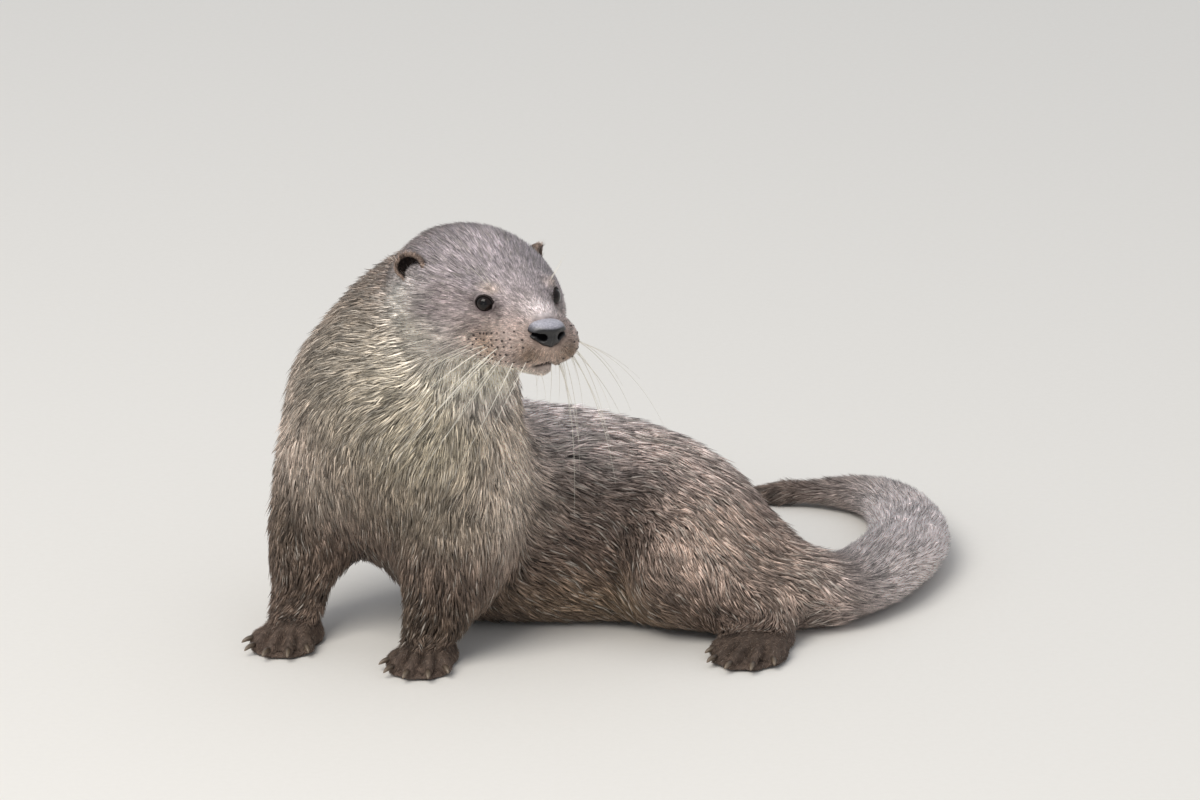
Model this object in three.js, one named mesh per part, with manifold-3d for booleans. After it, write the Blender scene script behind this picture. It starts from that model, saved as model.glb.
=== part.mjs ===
// A Eurasian otter, life size: crouched on the floor, forequarters raised, head turned to its left
// and the tail curled round behind it. Millimetres, +Z up. The chest faces -Y, the rump lies
// towards +X, the floor is z = 0, and the origin is under the middle of the model.
//
// The body and the head are soft fields of ellipsoids and tapered limbs. Each field is turned into
// a closed surface, and thin cuts part it into neck, chest, trunk, hips and legs. The feet, the
// tail, the ears, the nose, the eyes and the claws are made on their own and fitted to it.
import * as THREE from "three";
import { mergeVertices } from "three/addons/utils/BufferGeometryUtils.js";
import Module from "manifold-3d";

const wasm = await Module();
wasm.setup();

// ---- driving sizes ---------------------------------------------------------------------------
const GAP = 0.35; // clear space left by each thin cut
const BODY_CELL = 17.6; // facet size on the body
const HEAD_CELL = 9.2; // facet size on the head
const FLOOR_BITE = 1.2; // how deep soles and tail go below the floor before they are cut flat
const ORIGIN = [114.6, 173.8, 0]; // point of the floor that becomes the origin

const HEAD = {
  at: [40, 72, 227], // centre of the brain case
  yaw: 31, // degrees that the muzzle points to the right of -Y
  pitch: -5, // degrees, nose down
  roll: 4, // degrees, left side down
  reach: 110, // half the box that holds the head
};
const EAR = { at: [-5, 42.5, 13.5], facing: [0.6, 0.78, 0.12], radius: 9.8, depth: 7, wall: 2.2 };
const EYE = { at: [48, 22, 7.2], radius: 6.8 };
const NOSE = {
  at: [81, 0, 0.5], // middle of the pad
  size: [7, 11.5, 9],
  wing: [6.5, 6, 6], // the swelling on each side of the pad
  nostril: [5, 2.6, 2.4],
  nostrilOut: 7.5,
};
const JAW = { hinge: [38, -27], tip: [80, -21], width: 80, depth: 40 }; // mouth line as [fore, up]

// Stations down the spine: place, turn of the left side in plan, half-width and half-depth.
const SPINE = [
  { at: [17, 98, 207], left: 16, wide: 41, deep: 42 }, // under the skull
  { at: [7, 99, 178], left: -8, wide: 56, deep: 53 }, // neck
  { at: [0, 102, 146], left: -24, wide: 69, deep: 57 }, // foot of the neck
  { at: [-6, 112, 118], left: -34, wide: 71, deep: 54 }, // shoulders
  { at: [16, 138, 86], left: -58, wide: 64, deep: 58 }, // ribs
  { at: [52, 162, 62], left: -80, wide: 60, deep: 60 },
  { at: [92, 172, 57], left: -92, wide: 60, deep: 60 }, // belly
  { at: [130, 171, 52], left: -98, wide: 59, deep: 54 }, // loin
  { at: [160, 162, 46], left: -106, wide: 56, deep: 48 }, // hips
  { at: [191, 148, 29], left: -114, wide: 48, deep: 31 }, // rump
];
const BODY_BOX = { low: [-150, -40, -24], high: [300, 320, 290] };
const SPINE_STEPS = 4; // ellipsoids from one station to the next
const SPINE_FILLET = 10;

// The belly's soft underside, spread on the floor towards each flank.
const UNDERSIDE = {
  left: [[30, 142, 33], [136, 144, 33]],
  right: [[40, 196, 33], [134, 200, 33]],
  radius: 34,
};
const UNDERSIDE_FILLET = 24;

// Legs: joints from the body down, the radius at each, and where the longest toe ends.
const LEGS = {
  foreleg_left: {
    joints: [[34, 86, 104], [28, 80, 56], [13, 62, 20]],
    radii: [36, 33, 18],
    toe: [0, 27],
  },
  foreleg_right: {
    joints: [[-52, 124, 100], [-59, 122, 52], [-66, 100, 22]],
    radii: [30, 24, 17],
    toe: [-82, 64],
  },
  hindleg_left: {
    joints: [[170, 130, 45], [158, 112, 40], [212, 91, 16]],
    radii: [36, 34, 15],
    toe: [186, 42],
  },
  hindleg_right: {
    joints: [[164, 188, 41], [158, 206, 40], [204, 204, 16]],
    radii: [33, 33, 15],
    toe: [182, 258],
  },
};
const LEG_FILLET = 11;
// Feet: length from the ankle to the longest toe's tip, radii of pad, toes and web, degrees between
// toes, and the height of the cut across the ankle.
const FOREPAW = { length: 40, palm: 18, toe: 6.4, web: 20, spread: 19, cut: 16, claw: 8 };
const HINDPAW = { length: 54, palm: 17, toe: 6.8, web: 24, spread: 15, cut: 14, claw: 7.5 };
const TOES = 5;
const TOE_STEP_BACK = 0.06; // how much shorter the outer toes are, as a share of the foot's length
const PAW_SIDES = 38;
const CLAW = { radius: 1.9, sunk: 3, up: 5.2, droop: 14 }; // droop in degrees
const CLAW_SIDES = 6;

// Tail: places in plan along its curl, with half-width and half-height there.
const TAIL = [
  { at: [198, 146], wide: 46, high: 29 },
  { at: [230, 132], wide: 35, high: 20.5 },
  { at: [258, 144], wide: 31, high: 19.5 },
  { at: [282, 182], wide: 31, high: 18.5 },
  { at: [297, 228], wide: 29, high: 17.5 },
  { at: [295, 284], wide: 25, high: 16 },
  { at: [278, 326], wide: 20, high: 14 },
  { at: [248, 342], wide: 14, high: 11 },
  { at: [214, 347], wide: 9, high: 7.5 },
  { at: [174, 343], wide: 3.5, high: 3.2 },
];
const TAIL_CUTS = [0.17, 0.36, 0.52, 0.68, 0.84, 1]; // shares of the curl where its lengths part
const TAIL_SIDES = 12;
const TAIL_RINGS = 25;
const TAIL_ROOT_FORMS = 10;

// ---- colours and finishes --------------------------------------------------------------------
const finish = (color, roughness) => new THREE.MeshStandardMaterial({ color, roughness, metalness: 0 });
const BROWN_COAT = finish(0x6f6259, 0.85);
const GREY_COAT = finish(0x7d7478, 0.85);
const PALE_COAT = finish(0xb9b3a4, 0.85);
const TAIL_COAT = finish(0x6f6660, 0.8);
const EAR_SKIN = finish(0x5a4a41, 0.85);
const NOSE_SKIN = finish(0x25242b, 0.4);
const EYE_GLOSS = finish(0x0b0a0c, 0.05);
const CLAW_HORN = finish(0x4a4038, 0.45);

// ---- places and frames -----------------------------------------------------------------------
const vec = (p) => (p.isVector3 ? p.clone() : new THREE.Vector3(...p));
const { degToRad, lerp, clamp } = THREE.MathUtils;
const UP = new THREE.Vector3(0, 0, 1);
const WORLD = new THREE.Matrix4();
const sides = { left: 1, right: -1 };

// A frame with +X along `forward`, +Y as near to `left` as that allows and +Z up from both.
function frameAt(origin, forward, left) {
  const x = vec(forward).normalize();
  const z = x.clone().cross(left ? vec(left) : UP.clone().cross(x)).normalize();
  const y = z.clone().cross(x);
  return new THREE.Matrix4().makeBasis(x, y, z).setPosition(vec(origin));
}
function shifted(frame, ...offset) {
  return frame.clone().multiply(new THREE.Matrix4().makeTranslation(...offset));
}
function turned(frame, degrees) {
  return frame.clone().multiply(new THREE.Matrix4().makeRotationZ(degToRad(degrees)));
}

// The head's own frame: +X to the nose, +Y to the animal's left, +Z to the crown.
const headFrame = new THREE.Matrix4()
  .makeRotationFromEuler(
    new THREE.Euler(degToRad(-HEAD.roll), degToRad(-HEAD.pitch), degToRad(HEAD.yaw - 90), "ZYX"),
  )
  .setPosition(vec(HEAD.at));
const inHead = (...p) => vec(p).applyMatrix4(headFrame);
const mirrored = ([x, y, z], side) => [x, side * y, z];
// Evenly spaced turns of a full circle, in radians.
const around = (count) => Array.from({ length: count }, (_, n) => (2 * Math.PI * n) / count);

// ---- soft forms ------------------------------------------------------------------------------
// Each form gives the rough distance from a point to its surface, negative inside.
function ellipsoid(frame, radii) {
  const back = frame.clone().invert();
  const inverse = vec(radii.map((r) => 1 / r));
  const local = new THREE.Vector3();
  return (p) => {
    local.copy(p).applyMatrix4(back).multiply(inverse);
    const near = local.length();
    const steep = local.multiply(inverse).length();
    return steep > 0 ? (near * (near - 1)) / steep : -Math.min(...radii);
  };
}

function limb(from, to, fromRadius, toRadius) {
  const start = vec(from);
  const axis = vec(to).sub(start);
  const span = axis.lengthSq();
  const q = new THREE.Vector3();
  return (p) => {
    q.copy(p).sub(start);
    const t = clamp(q.dot(axis) / span, 0, 1);
    return q.addScaledVector(axis, -t).length() - lerp(fromRadius, toRadius, t);
  };
}

// Joins two distances with a fillet about `fillet` across.
function filleted(a, b, fillet) {
  const h = Math.max(fillet - Math.abs(a - b), 0) / fillet;
  return Math.min(a, b) - (h * h * fillet) / 4;
}
const fieldOf = (forms) => (p) =>
  forms.reduce((sum, [form, fillet]) => filleted(sum, form(p), fillet), 1e3);

const headBall = (centre, radii) => ellipsoid(shifted(headFrame, ...centre), radii);
const onBothSides = (make) => Object.values(sides).map(make);

const headForms = [
  [headBall([-6, 0, -2], [50, 45, 33]), 12], // brain case
  [headBall([30, 0, 1], [36, 31, 23]), 14], // forehead and brow
  [headBall([58, 0, 1], [28, 17, 14]), 8], // bridge of the snout
  [headBall([68, 0, -9], [20, 20, 15]), 8], // upper lip
  ...onBothSides((side) => [headBall([64, side * 13, -10.5], [21, 15, 15.5]), 6]), // whisker pads
  [limb(inHead(14, 0, -27), inHead(71, 0, -20.5), 17, 8.5), 8], // lower jaw
  ...onBothSides((side) => [headBall([4, side * 25, -12], [42, 25, 27]), 14]), // cheeks
];

function spineForms() {
  const line = new THREE.CatmullRomCurve3(SPINE.map((s) => vec(s.at)));
  const last = SPINE.length - 1;
  const count = last * SPINE_STEPS;
  return Array.from({ length: count + 1 }, (_, i) => {
    const k = Math.min(Math.floor(i / SPINE_STEPS), last - 1);
    const share = i / SPINE_STEPS - k;
    const size = (key) => lerp(SPINE[k][key], SPINE[k + 1][key], share);
    const turn = degToRad(size("left"));
    const left = [Math.cos(turn), Math.sin(turn), 0];
    const frame = frameAt(line.getPoint(i / count), line.getTangent(i / count), left);
    return [ellipsoid(frame, [0.6 * size("wide"), size("wide"), size("deep")]), SPINE_FILLET];
  });
}

function legForms() {
  return Object.values(LEGS).flatMap(({ joints, radii }) => [
    [limb(joints[0], joints[1], radii[0], radii[1]), LEG_FILLET],
    [limb(joints[1], joints[2], radii[1], radii[2]), LEG_FILLET],
  ]);
}

const tailLine = new THREE.CatmullRomCurve3(TAIL.map(({ at, high }) => vec([...at, high - FLOOR_BITE])));
function tailSize(t, key) {
  const place = t * (TAIL.length - 1);
  const k = Math.min(Math.floor(place), TAIL.length - 2);
  return lerp(TAIL[k][key], TAIL[k + 1][key], place - k);
}
const tailFrame = (t) => frameAt(tailLine.getPoint(t), tailLine.getTangent(t));

function tailRootForms() {
  const shares = Array.from({ length: TAIL_ROOT_FORMS }, (_, n) => (n / TAIL_ROOT_FORMS) * 0.28);
  return shares.map((t) => {
    const wide = tailSize(t, "wide");
    return [ellipsoid(tailFrame(t), [0.85 * wide, wide, tailSize(t, "high")]), 8];
  });
}

const undersideForms = () => [
  [limb(...UNDERSIDE.left, UNDERSIDE.radius, UNDERSIDE.radius), UNDERSIDE_FILLET],
  [limb(...UNDERSIDE.right, UNDERSIDE.radius, UNDERSIDE.radius), UNDERSIDE_FILLET],
];

const field = fieldOf([
  ...spineForms(),
  ...undersideForms(),
  ...legForms(),
  ...tailRootForms(),
  ...headForms,
]);

// ---- from field to surface -------------------------------------------------------------------
// Lays a grid over the box, puts one vertex in each cell that the surface crosses, draws it onto
// the surface, and joins the four cells round each crossed grid edge.
function surfaceOf(low, high, cell) {
  const count = low.map((start, k) => Math.ceil((high[k] - start) / cell) + 1);
  const slot = (i, j, k) => (k * count[1] + j) * count[0] + i;
  const values = new Float32Array(count[0] * count[1] * count[2]);
  const onWall = (cellOf) => cellOf.some((c, n) => c === 0 || c === count[n] - 1);
  const eachCell = (visit) => {
    for (let k = 0; k < count[2]; k++)
      for (let j = 0; j < count[1]; j++) for (let i = 0; i < count[0]; i++) visit(i, j, k);
  };
  const p = new THREE.Vector3();
  eachCell((i, j, k) => {
    const value = field(p.set(low[0] + i * cell, low[1] + j * cell, low[2] + k * cell));
    values[slot(i, j, k)] = onWall([i, j, k]) ? Math.max(value, 0.5) : value;
  });

  const corners = Array.from({ length: 8 }, (_, c) => [c & 1, (c >> 1) & 1, c >> 2]);
  const edgesFrom = (a) => [1, 2, 4].filter((bit) => !(a & bit)).map((bit) => [a, a | bit]);
  const cellEdges = corners.flatMap((_, a) => edgesFrom(a));
  const vertexOf = new Map();
  const positions = [];
  eachCell((i, j, k) => {
    if (i === count[0] - 1 || j === count[1] - 1 || k === count[2] - 1) return;
    const v = corners.map(([a, b, c]) => values[slot(i + a, j + b, k + c)]);
    const crossed = cellEdges.filter(([a, b]) => v[a] < 0 !== v[b] < 0);
    if (!crossed.length) return;
    const mean = new THREE.Vector3();
    for (const [a, b] of crossed) mean.add(vec(corners[a]).lerp(vec(corners[b]), v[a] / (v[a] - v[b])));
    mean.divideScalar(crossed.length).add(vec([i, j, k])).multiplyScalar(cell).add(vec(low));
    const atWall = onWall([i, j, k]) || onWall([i + 1, j + 1, k + 1]);
    vertexOf.set(slot(i, j, k), positions.length / 3);
    positions.push(...(atWall ? mean : drawnOn(mean, cell)).toArray());
  });

  const index = [];
  const steps = [[1, 0, 0], [0, 1, 0], [0, 0, 1]];
  const span = (a, b) => Math.hypot(...[0, 1, 2].map((d) => positions[3 * a + d] - positions[3 * b + d]));
  eachCell((i, j, k) => {
    steps.forEach((step, n) => {
      const cellOf = [i, j, k];
      const [u, w] = [steps[(n + 1) % 3], steps[(n + 2) % 3]];
      if (cellOf[n] === count[n] - 1 || cellOf[(n + 1) % 3] === 0 || cellOf[(n + 2) % 3] === 0) return;
      const inside = values[slot(i, j, k)] < 0;
      if (inside === values[slot(i + step[0], j + step[1], k + step[2])] < 0) return;
      const cornerAt = (m, o) => vertexOf.get(slot(...cellOf.map((c, d) => c - m * u[d] - o * w[d])));
      const ring = [cornerAt(1, 1), cornerAt(0, 1), cornerAt(0, 0), cornerAt(1, 0)];
      if (!inside) ring.reverse();
      if (span(ring[0], ring[2]) > span(ring[1], ring[3])) ring.push(ring.shift());
      index.push(ring[0], ring[1], ring[2], ring[0], ring[2], ring[3]);
    });
  });
  return bareGeometry(positions, index);
}

// Moves a point down the field's slope onto its surface, by at most half a cell.
function drawnOn(start, cell) {
  const p = start.clone();
  const probe = new THREE.Vector3();
  const reach = 0.1;
  for (let n = 0; n < 4; n++) {
    const value = field(p);
    const slope = vec([
      field(probe.copy(p).setX(p.x + reach)) - value,
      field(probe.copy(p).setY(p.y + reach)) - value,
      field(probe.copy(p).setZ(p.z + reach)) - value,
    ]).divideScalar(reach);
    p.addScaledVector(slope, -value / Math.max(slope.lengthSq(), 0.2));
  }
  return p.sub(start).clampLength(0, cell / 2).add(start);
}

function bareGeometry(positions, index) {
  const geometry = new THREE.BufferGeometry();
  geometry.setAttribute("position", new THREE.Float32BufferAttribute(positions, 3));
  geometry.setIndex(index);
  return geometry;
}

// ---- joining and cutting ---------------------------------------------------------------------
function solid(geometry, matrix = WORLD) {
  const placed = geometry.clone().applyMatrix4(matrix);
  for (const name of ["normal", "uv"]) placed.deleteAttribute(name);
  const merged = mergeVertices(placed, 1e-3);
  return new wasm.Manifold(
    new wasm.Mesh({
      numProp: 3,
      vertProperties: new Float32Array(merged.getAttribute("position").array),
      triVerts: new Uint32Array(merged.index.array),
    }),
  );
}

function geometryOf(made) {
  const mesh = made.getMesh();
  const positions = [];
  for (let i = 0; i < mesh.numVert; i++) {
    const start = i * mesh.numProp;
    positions.push(...mesh.vertProperties.slice(start, start + 3));
  }
  return bareGeometry(positions, [...mesh.triVerts]);
}

const union = (pieces) => pieces.reduce((sum, piece) => sum.add(piece));
const largest = (made) => made.decompose().sort((a, b) => b.volume() - a.volume())[0];

// A block in a frame, from one corner to the other, grown by `grow` on every side.
function block(frame, low, high, grow = 0) {
  const size = low.map((start, k) => high[k] - start + 2 * grow);
  const middle = low.map((start, k) => (start + high[k]) / 2);
  return solid(new THREE.BoxGeometry(...size), shifted(frame, ...middle));
}
const FAR = 900;
const beyond = (frame, grow = 0) => block(frame, [0, -FAR, -FAR], [FAR, FAR, FAR], grow);
const aboveFloor = block(WORLD, [-FAR, -FAR, 0], [FAR, FAR, FAR]);

function ball(frame, centre, radii, across, down) {
  const place = shifted(frame, ...centre).multiply(new THREE.Matrix4().makeScale(...radii));
  return solid(new THREE.SphereGeometry(1, across, down), place);
}

// A closed body through rings of equally many points, with a fan over each end.
function lofted(rings) {
  const count = rings[0].length;
  const last = rings.length - 1;
  const at = (n, s) => n * count + (s % count);
  const points = rings.flat();
  const middleOf = (ring) => ring.reduce((sum, p) => sum.add(p), new THREE.Vector3()).divideScalar(count);
  const ends = [0, last].map((n) => points.push(middleOf(rings[n])) - 1);
  const index = [];
  for (let s = 0; s < count; s++) {
    for (let n = 0; n < last; n++)
      index.push(at(n, s), at(n, s + 1), at(n + 1, s + 1), at(n, s), at(n + 1, s + 1), at(n + 1, s));
    index.push(ends[0], at(0, s + 1), at(0, s), ends[1], at(last, s), at(last, s + 1));
  }
  return solid(bareGeometry(points.flatMap((p) => p.toArray()), index));
}

// ---- the head --------------------------------------------------------------------------------
function nosePad(grow = 0) {
  const grown = (radii) => radii.map((r) => r + grow);
  const wings = onBothSides((side) =>
    ball(headFrame, [NOSE.at[0] - 2, side * 7, NOSE.at[2] - 1], grown(NOSE.wing), 7, 4),
  );
  return union([ball(headFrame, NOSE.at, grown(NOSE.size), 10, 6), ...wings]);
}

function nose() {
  const holes = onBothSides((side) =>
    ball(headFrame, [NOSE.at[0] + 5, side * NOSE.nostrilOut, NOSE.at[2] - 1.5], NOSE.nostril, 6, 4),
  );
  return holes.reduce((pad, hole) => pad.subtract(hole), nosePad());
}

// An ear is a round cup that opens forwards and outwards, with its foot sunk in the head.
function earFrame(side) {
  const facing = vec(mirrored(EAR.facing, side)).transformDirection(headFrame);
  return frameAt(inHead(...mirrored(EAR.at, side)), facing);
}
function earCup(side, grow = 0) {
  const across = EAR.radius + grow;
  return ball(earFrame(side), [0, 0, 0], [EAR.depth + grow, across, across], 11, 7);
}
function ear(side) {
  const across = EAR.radius - EAR.wall;
  const hollow = ball(earFrame(side), [EAR.depth, 0, 0.5], [1.2 * EAR.depth, across, across], 9, 6);
  return earCup(side).subtract(hollow);
}

function eye(side, grow = 0) {
  return ball(headFrame, mirrored(EYE.at, side), Array(3).fill(EYE.radius + grow), 9, 7);
}

// Across the back of the skull: the head lies in front of it, the neck behind.
const nape = frameAt(inHead(-34, 0, -4), [0.62, -0.5, 0.6]);
const napeBlock = (grow = 0) =>
  block(nape, [0, -HEAD.reach, -HEAD.reach], [2 * HEAD.reach, HEAD.reach, HEAD.reach], grow);

function mouthBlock(grow = 0) {
  const [hinge, tip] = [JAW.hinge, JAW.tip].map(([fore, up]) => inHead(fore, 0, up));
  const left = new THREE.Vector3(0, 1, 0).transformDirection(headFrame);
  const frame = frameAt(hinge, tip.sub(hinge), left);
  return block(frame, [0, -JAW.width / 2, -JAW.depth], [FAR, JAW.width / 2, 0], grow);
}

function skull() {
  const low = HEAD.at.map((c) => c - HEAD.reach);
  const high = HEAD.at.map((c) => c + HEAD.reach);
  let made = solid(surfaceOf(low, high, HEAD_CELL)).intersect(napeBlock());
  for (const side of Object.values(sides)) made = made.subtract(eye(side, GAP)).subtract(earCup(side, GAP));
  return made.subtract(nosePad(GAP));
}

// ---- the feet --------------------------------------------------------------------------------
// A foot's frame stands on the floor under its longest toe's tip, with +X forwards.
function footFrame({ toe, joints }) {
  return frameAt([...toe, 0], [toe[0] - joints[2][0], toe[1] - joints[2][1], 0]);
}
const paws = Object.entries(LEGS).map(([name, leg]) => {
  const size = name.startsWith("fore") ? FOREPAW : HINDPAW;
  return { name, size, frame: footFrame(leg), ankle: leg.radii[2] };
});
const toePlaces = Array.from({ length: TOES }, (_, n) => n - (TOES - 1) / 2);
const toeFrame = ({ frame, size }, place) => turned(shifted(frame, -size.length, 0, 0), place * size.spread);
const toeReach = (size, place) => size.length * (1 - TOE_STEP_BACK * place * place);

// How far a foot reaches from its middle in one direction: to the far rim of the outermost disc
// among those of its pad, web and toes.
function pawReach(size, turn) {
  const middle = 0.4 * size.length;
  const toes = toePlaces.map((place) => {
    const along = toeReach(size, place) - size.toe;
    const angle = degToRad(place * size.spread);
    return [along * Math.cos(angle) - middle, along * Math.sin(angle), size.toe];
  });
  const discs = [[-middle, 0, size.palm], [0.05 * size.length, 0, size.web], ...toes];
  const farRims = discs.map(([x, y, radius]) => {
    const along = x * Math.cos(turn) + y * Math.sin(turn);
    const aside = y * Math.cos(turn) - x * Math.sin(turn);
    return Math.abs(aside) < radius ? along + Math.sqrt(radius * radius - aside * aside) : 0;
  });
  return Math.max(...farRims);
}

// Rings from the sole up, as [share of the outline, height, share of the way back to the ankle];
// the last ring is the ankle itself.
function paw({ frame, size, ankle }, grow = 0) {
  const levels = [
    [0.92, -grow, 0],
    [1, 0.6 * size.toe, 0],
    [0.88, 1.45 * size.toe, 0.1],
    [0.6, 0.9 * size.cut, 0.6],
  ];
  const even = around(PAW_SIDES);
  const turns = even.map((turn) => turn - 0.4 * Math.sin(turn)); // closer together at the toes
  const ring = (back, height, reach) =>
    turns.map((turn) => {
      const far = reach(turn) + grow;
      const x = far * Math.cos(turn) - (0.6 + 0.4 * back) * size.length;
      return new THREE.Vector3(x, far * Math.sin(turn), height).applyMatrix4(frame);
    });
  const foot = levels.map(([share, height, back]) =>
    ring(back, height, (turn) => share * pawReach(size, turn)),
  );
  return lofted([...foot, ring(1, size.cut + grow, () => 0.97 * ankle)]);
}

function claw(foot, place, grow = 0) {
  const middle = [toeReach(foot.size, place) - CLAW.sunk + foot.size.claw / 2, 0, CLAW.up];
  const lying = new THREE.Matrix4().makeRotationZ(-Math.PI / 2);
  const drooped = new THREE.Matrix4().makeRotationY(degToRad(CLAW.droop));
  const matrix = shifted(toeFrame(foot, place), ...middle).multiply(drooped).multiply(lying);
  return solid(new THREE.ConeGeometry(CLAW.radius + grow, foot.size.claw + 2 * grow, CLAW_SIDES), matrix);
}

// What a foot takes from the leg above it: its own room, and a block round the heel up to the
// cut across the ankle.
function footRoom(foot, grow = 0) {
  const { length, palm, cut } = foot.size;
  const wide = 1.15 * palm;
  const heel = block(foot.frame, [-length - wide, -wide, -FAR], [-0.45 * length, wide, cut], grow);
  return paw(foot, grow).add(heel);
}

// ---- the tail --------------------------------------------------------------------------------
// One length between two shares of the curl, as rings of an ellipse.
function tailLength(from, to) {
  const count = Math.max(4, Math.round((to - from) * TAIL_RINGS));
  const rings = Array.from({ length: count + 1 }, (_, n) => {
    const t = lerp(from, to, n / count);
    const frame = tailFrame(t);
    const [wide, high] = [tailSize(t, "wide"), tailSize(t, "high")];
    const rim = (turn) => vec([0, wide * Math.cos(turn), high * Math.sin(turn)]).applyMatrix4(frame);
    return around(TAIL_SIDES).map(rim);
  });
  return lofted(rings).intersect(aboveFloor);
}

// ---- parting the body ------------------------------------------------------------------------
// Cuts that part the trunk: a point on the spine and the direction from the part kept to the next.
const CUTS = {
  neck: frameAt([0, 103, 138], [0.1, -0.1, 1]),
  chest: frameAt([44, 158, 66], [-0.86, -0.48, 0.2]),
  belly: frameAt([126, 171, 54], [-1, 0.12, 0.1]),
};
const tailCut = frameAt(tailLine.getPoint(TAIL_CUTS[0]), tailLine.getTangent(TAIL_CUTS[0]));

// What belongs to each leg, as the two far corners of a box.
const LEG_BOXES = {
  foreleg_left: [[-24, 0, -9], [66, 112, 70]],
  foreleg_right: [[-120, 50, -9], [-32, 170, 76]],
  hindleg_left: [[132, 0, -9], [222, 109, 74]],
  hindleg_right: [[130, 205, -9], [216, 320, 74]],
};

// Takes a region out of a body: the piece inside it, and the rest, clear of it by GAP.
const take = (made, region) => [largest(made.intersect(region(0))), made.subtract(region(GAP))];

// ---- the parts -------------------------------------------------------------------------------
const otter = new THREE.Group();
otter.position.set(...ORIGIN).negate();
function add(name, made, material) {
  const mesh = new THREE.Mesh(geometryOf(largest(made)), material);
  mesh.name = name;
  otter.add(mesh);
}

function addHead() {
  const [jaw, rest] = take(skull(), mouthBlock);
  add("head", rest, GREY_COAT);
  add("jaw", jaw, PALE_COAT);
  add("nose", nose(), NOSE_SKIN);
  for (const [name, side] of Object.entries(sides)) {
    add("ear_" + name, ear(side), EAR_SKIN);
    add("eye_" + name, eye(side), EYE_GLOSS);
  }
}

function addPaw(foot) {
  let made = paw(foot);
  toePlaces.forEach((place, n) => {
    made = made.subtract(claw(foot, place, GAP));
    add(foot.name + "_claw_" + (n + 1), claw(foot, place), CLAW_HORN);
  });
  add(foot.name + "_foot", made, BROWN_COAT);
}

function addTrunk() {
  let rest = solid(surfaceOf(BODY_BOX.low, BODY_BOX.high, BODY_CELL)).intersect(aboveFloor);
  rest = rest.subtract(napeBlock(GAP)).subtract(beyond(tailCut, GAP));
  for (const foot of paws) rest = rest.subtract(footRoom(foot, GAP));
  for (const [name, box] of Object.entries(LEG_BOXES)) {
    let made;
    [made, rest] = take(rest, (grow) => block(WORLD, ...box, grow));
    add(name, made, BROWN_COAT);
  }
  for (const [name, cut] of Object.entries(CUTS)) {
    let made;
    [made, rest] = take(rest, (grow) => beyond(cut, grow));
    add(name, made, name === "neck" ? PALE_COAT : BROWN_COAT);
  }
  add("hips", rest, BROWN_COAT);
}

function addTail() {
  const clear = GAP / 2 / tailLine.getLength();
  for (let n = 0; n + 1 < TAIL_CUTS.length; n++)
    add("tail_" + (n + 1), tailLength(TAIL_CUTS[n] + clear, TAIL_CUTS[n + 1] - clear), TAIL_COAT);
}

addHead();
paws.forEach(addPaw);
addTrunk();
addTail();

export default otter;
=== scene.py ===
# Eurasian otter, life size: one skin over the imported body, a coat of mesh tufts, eyes, nose,
# whiskers and claws. Metres, +Z up.
import math

import bmesh
import bpy
import numpy as np
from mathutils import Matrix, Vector
from mathutils.bvhtree import BVHTree
from mathutils.kdtree import KDTree


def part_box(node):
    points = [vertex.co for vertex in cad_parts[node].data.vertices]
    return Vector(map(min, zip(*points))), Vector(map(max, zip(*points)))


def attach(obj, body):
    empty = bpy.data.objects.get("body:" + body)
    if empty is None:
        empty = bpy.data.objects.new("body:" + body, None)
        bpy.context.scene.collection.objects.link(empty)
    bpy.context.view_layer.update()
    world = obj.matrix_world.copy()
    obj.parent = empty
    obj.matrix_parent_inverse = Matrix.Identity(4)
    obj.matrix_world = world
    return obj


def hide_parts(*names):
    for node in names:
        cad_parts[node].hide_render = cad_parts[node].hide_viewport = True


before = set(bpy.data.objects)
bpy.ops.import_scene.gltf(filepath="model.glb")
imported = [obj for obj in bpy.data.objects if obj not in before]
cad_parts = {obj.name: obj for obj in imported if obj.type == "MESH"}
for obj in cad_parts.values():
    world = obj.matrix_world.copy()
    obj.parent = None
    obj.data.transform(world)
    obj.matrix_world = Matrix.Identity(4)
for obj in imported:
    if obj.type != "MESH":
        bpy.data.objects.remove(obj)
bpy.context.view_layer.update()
mm = 0.001
rng = np.random.default_rng(41)
legs = ["foreleg_left", "foreleg_right", "hindleg_left", "hindleg_right"]
tails = ["tail_%d" % n for n in range(1, 6)]
sides = {"left": 1, "right": -1}


# small tools
def unit(v):
    v = np.asarray(v, float)
    return v / np.maximum(np.linalg.norm(v, axis=-1, keepdims=True), 1e-12)


def middleOf(node):
    low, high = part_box(node)
    return np.array((low + high) / 2)


def linear(text):  # sRGB hex to linear RGBA
    parts = [int(text[i:i + 2], 16) / 255 for i in (1, 3, 5)]
    return tuple(c / 12.92 if c < 0.04045 else ((c + 0.055) / 1.055) ** 2.4 for c in parts) + (1.0,)


def tinted(text):
    return np.array(linear(text)[:3])


def ease(x, low, high):  # 0 below low, 1 above high, smooth between
    t = np.clip((x - low) / (high - low), 0, 1)
    return t * t * (3 - 2 * t)


def mix(a, b, share):
    return a + (b - a) * share


def hump(x):
    return np.exp(-x * x)


def mirrored(middle):  # a middle, and its mirror image where it is off the middle line
    x, y, z = middle
    return [(x, y, z), (x, -y, z)] if y else [(x, y, z)]


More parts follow.
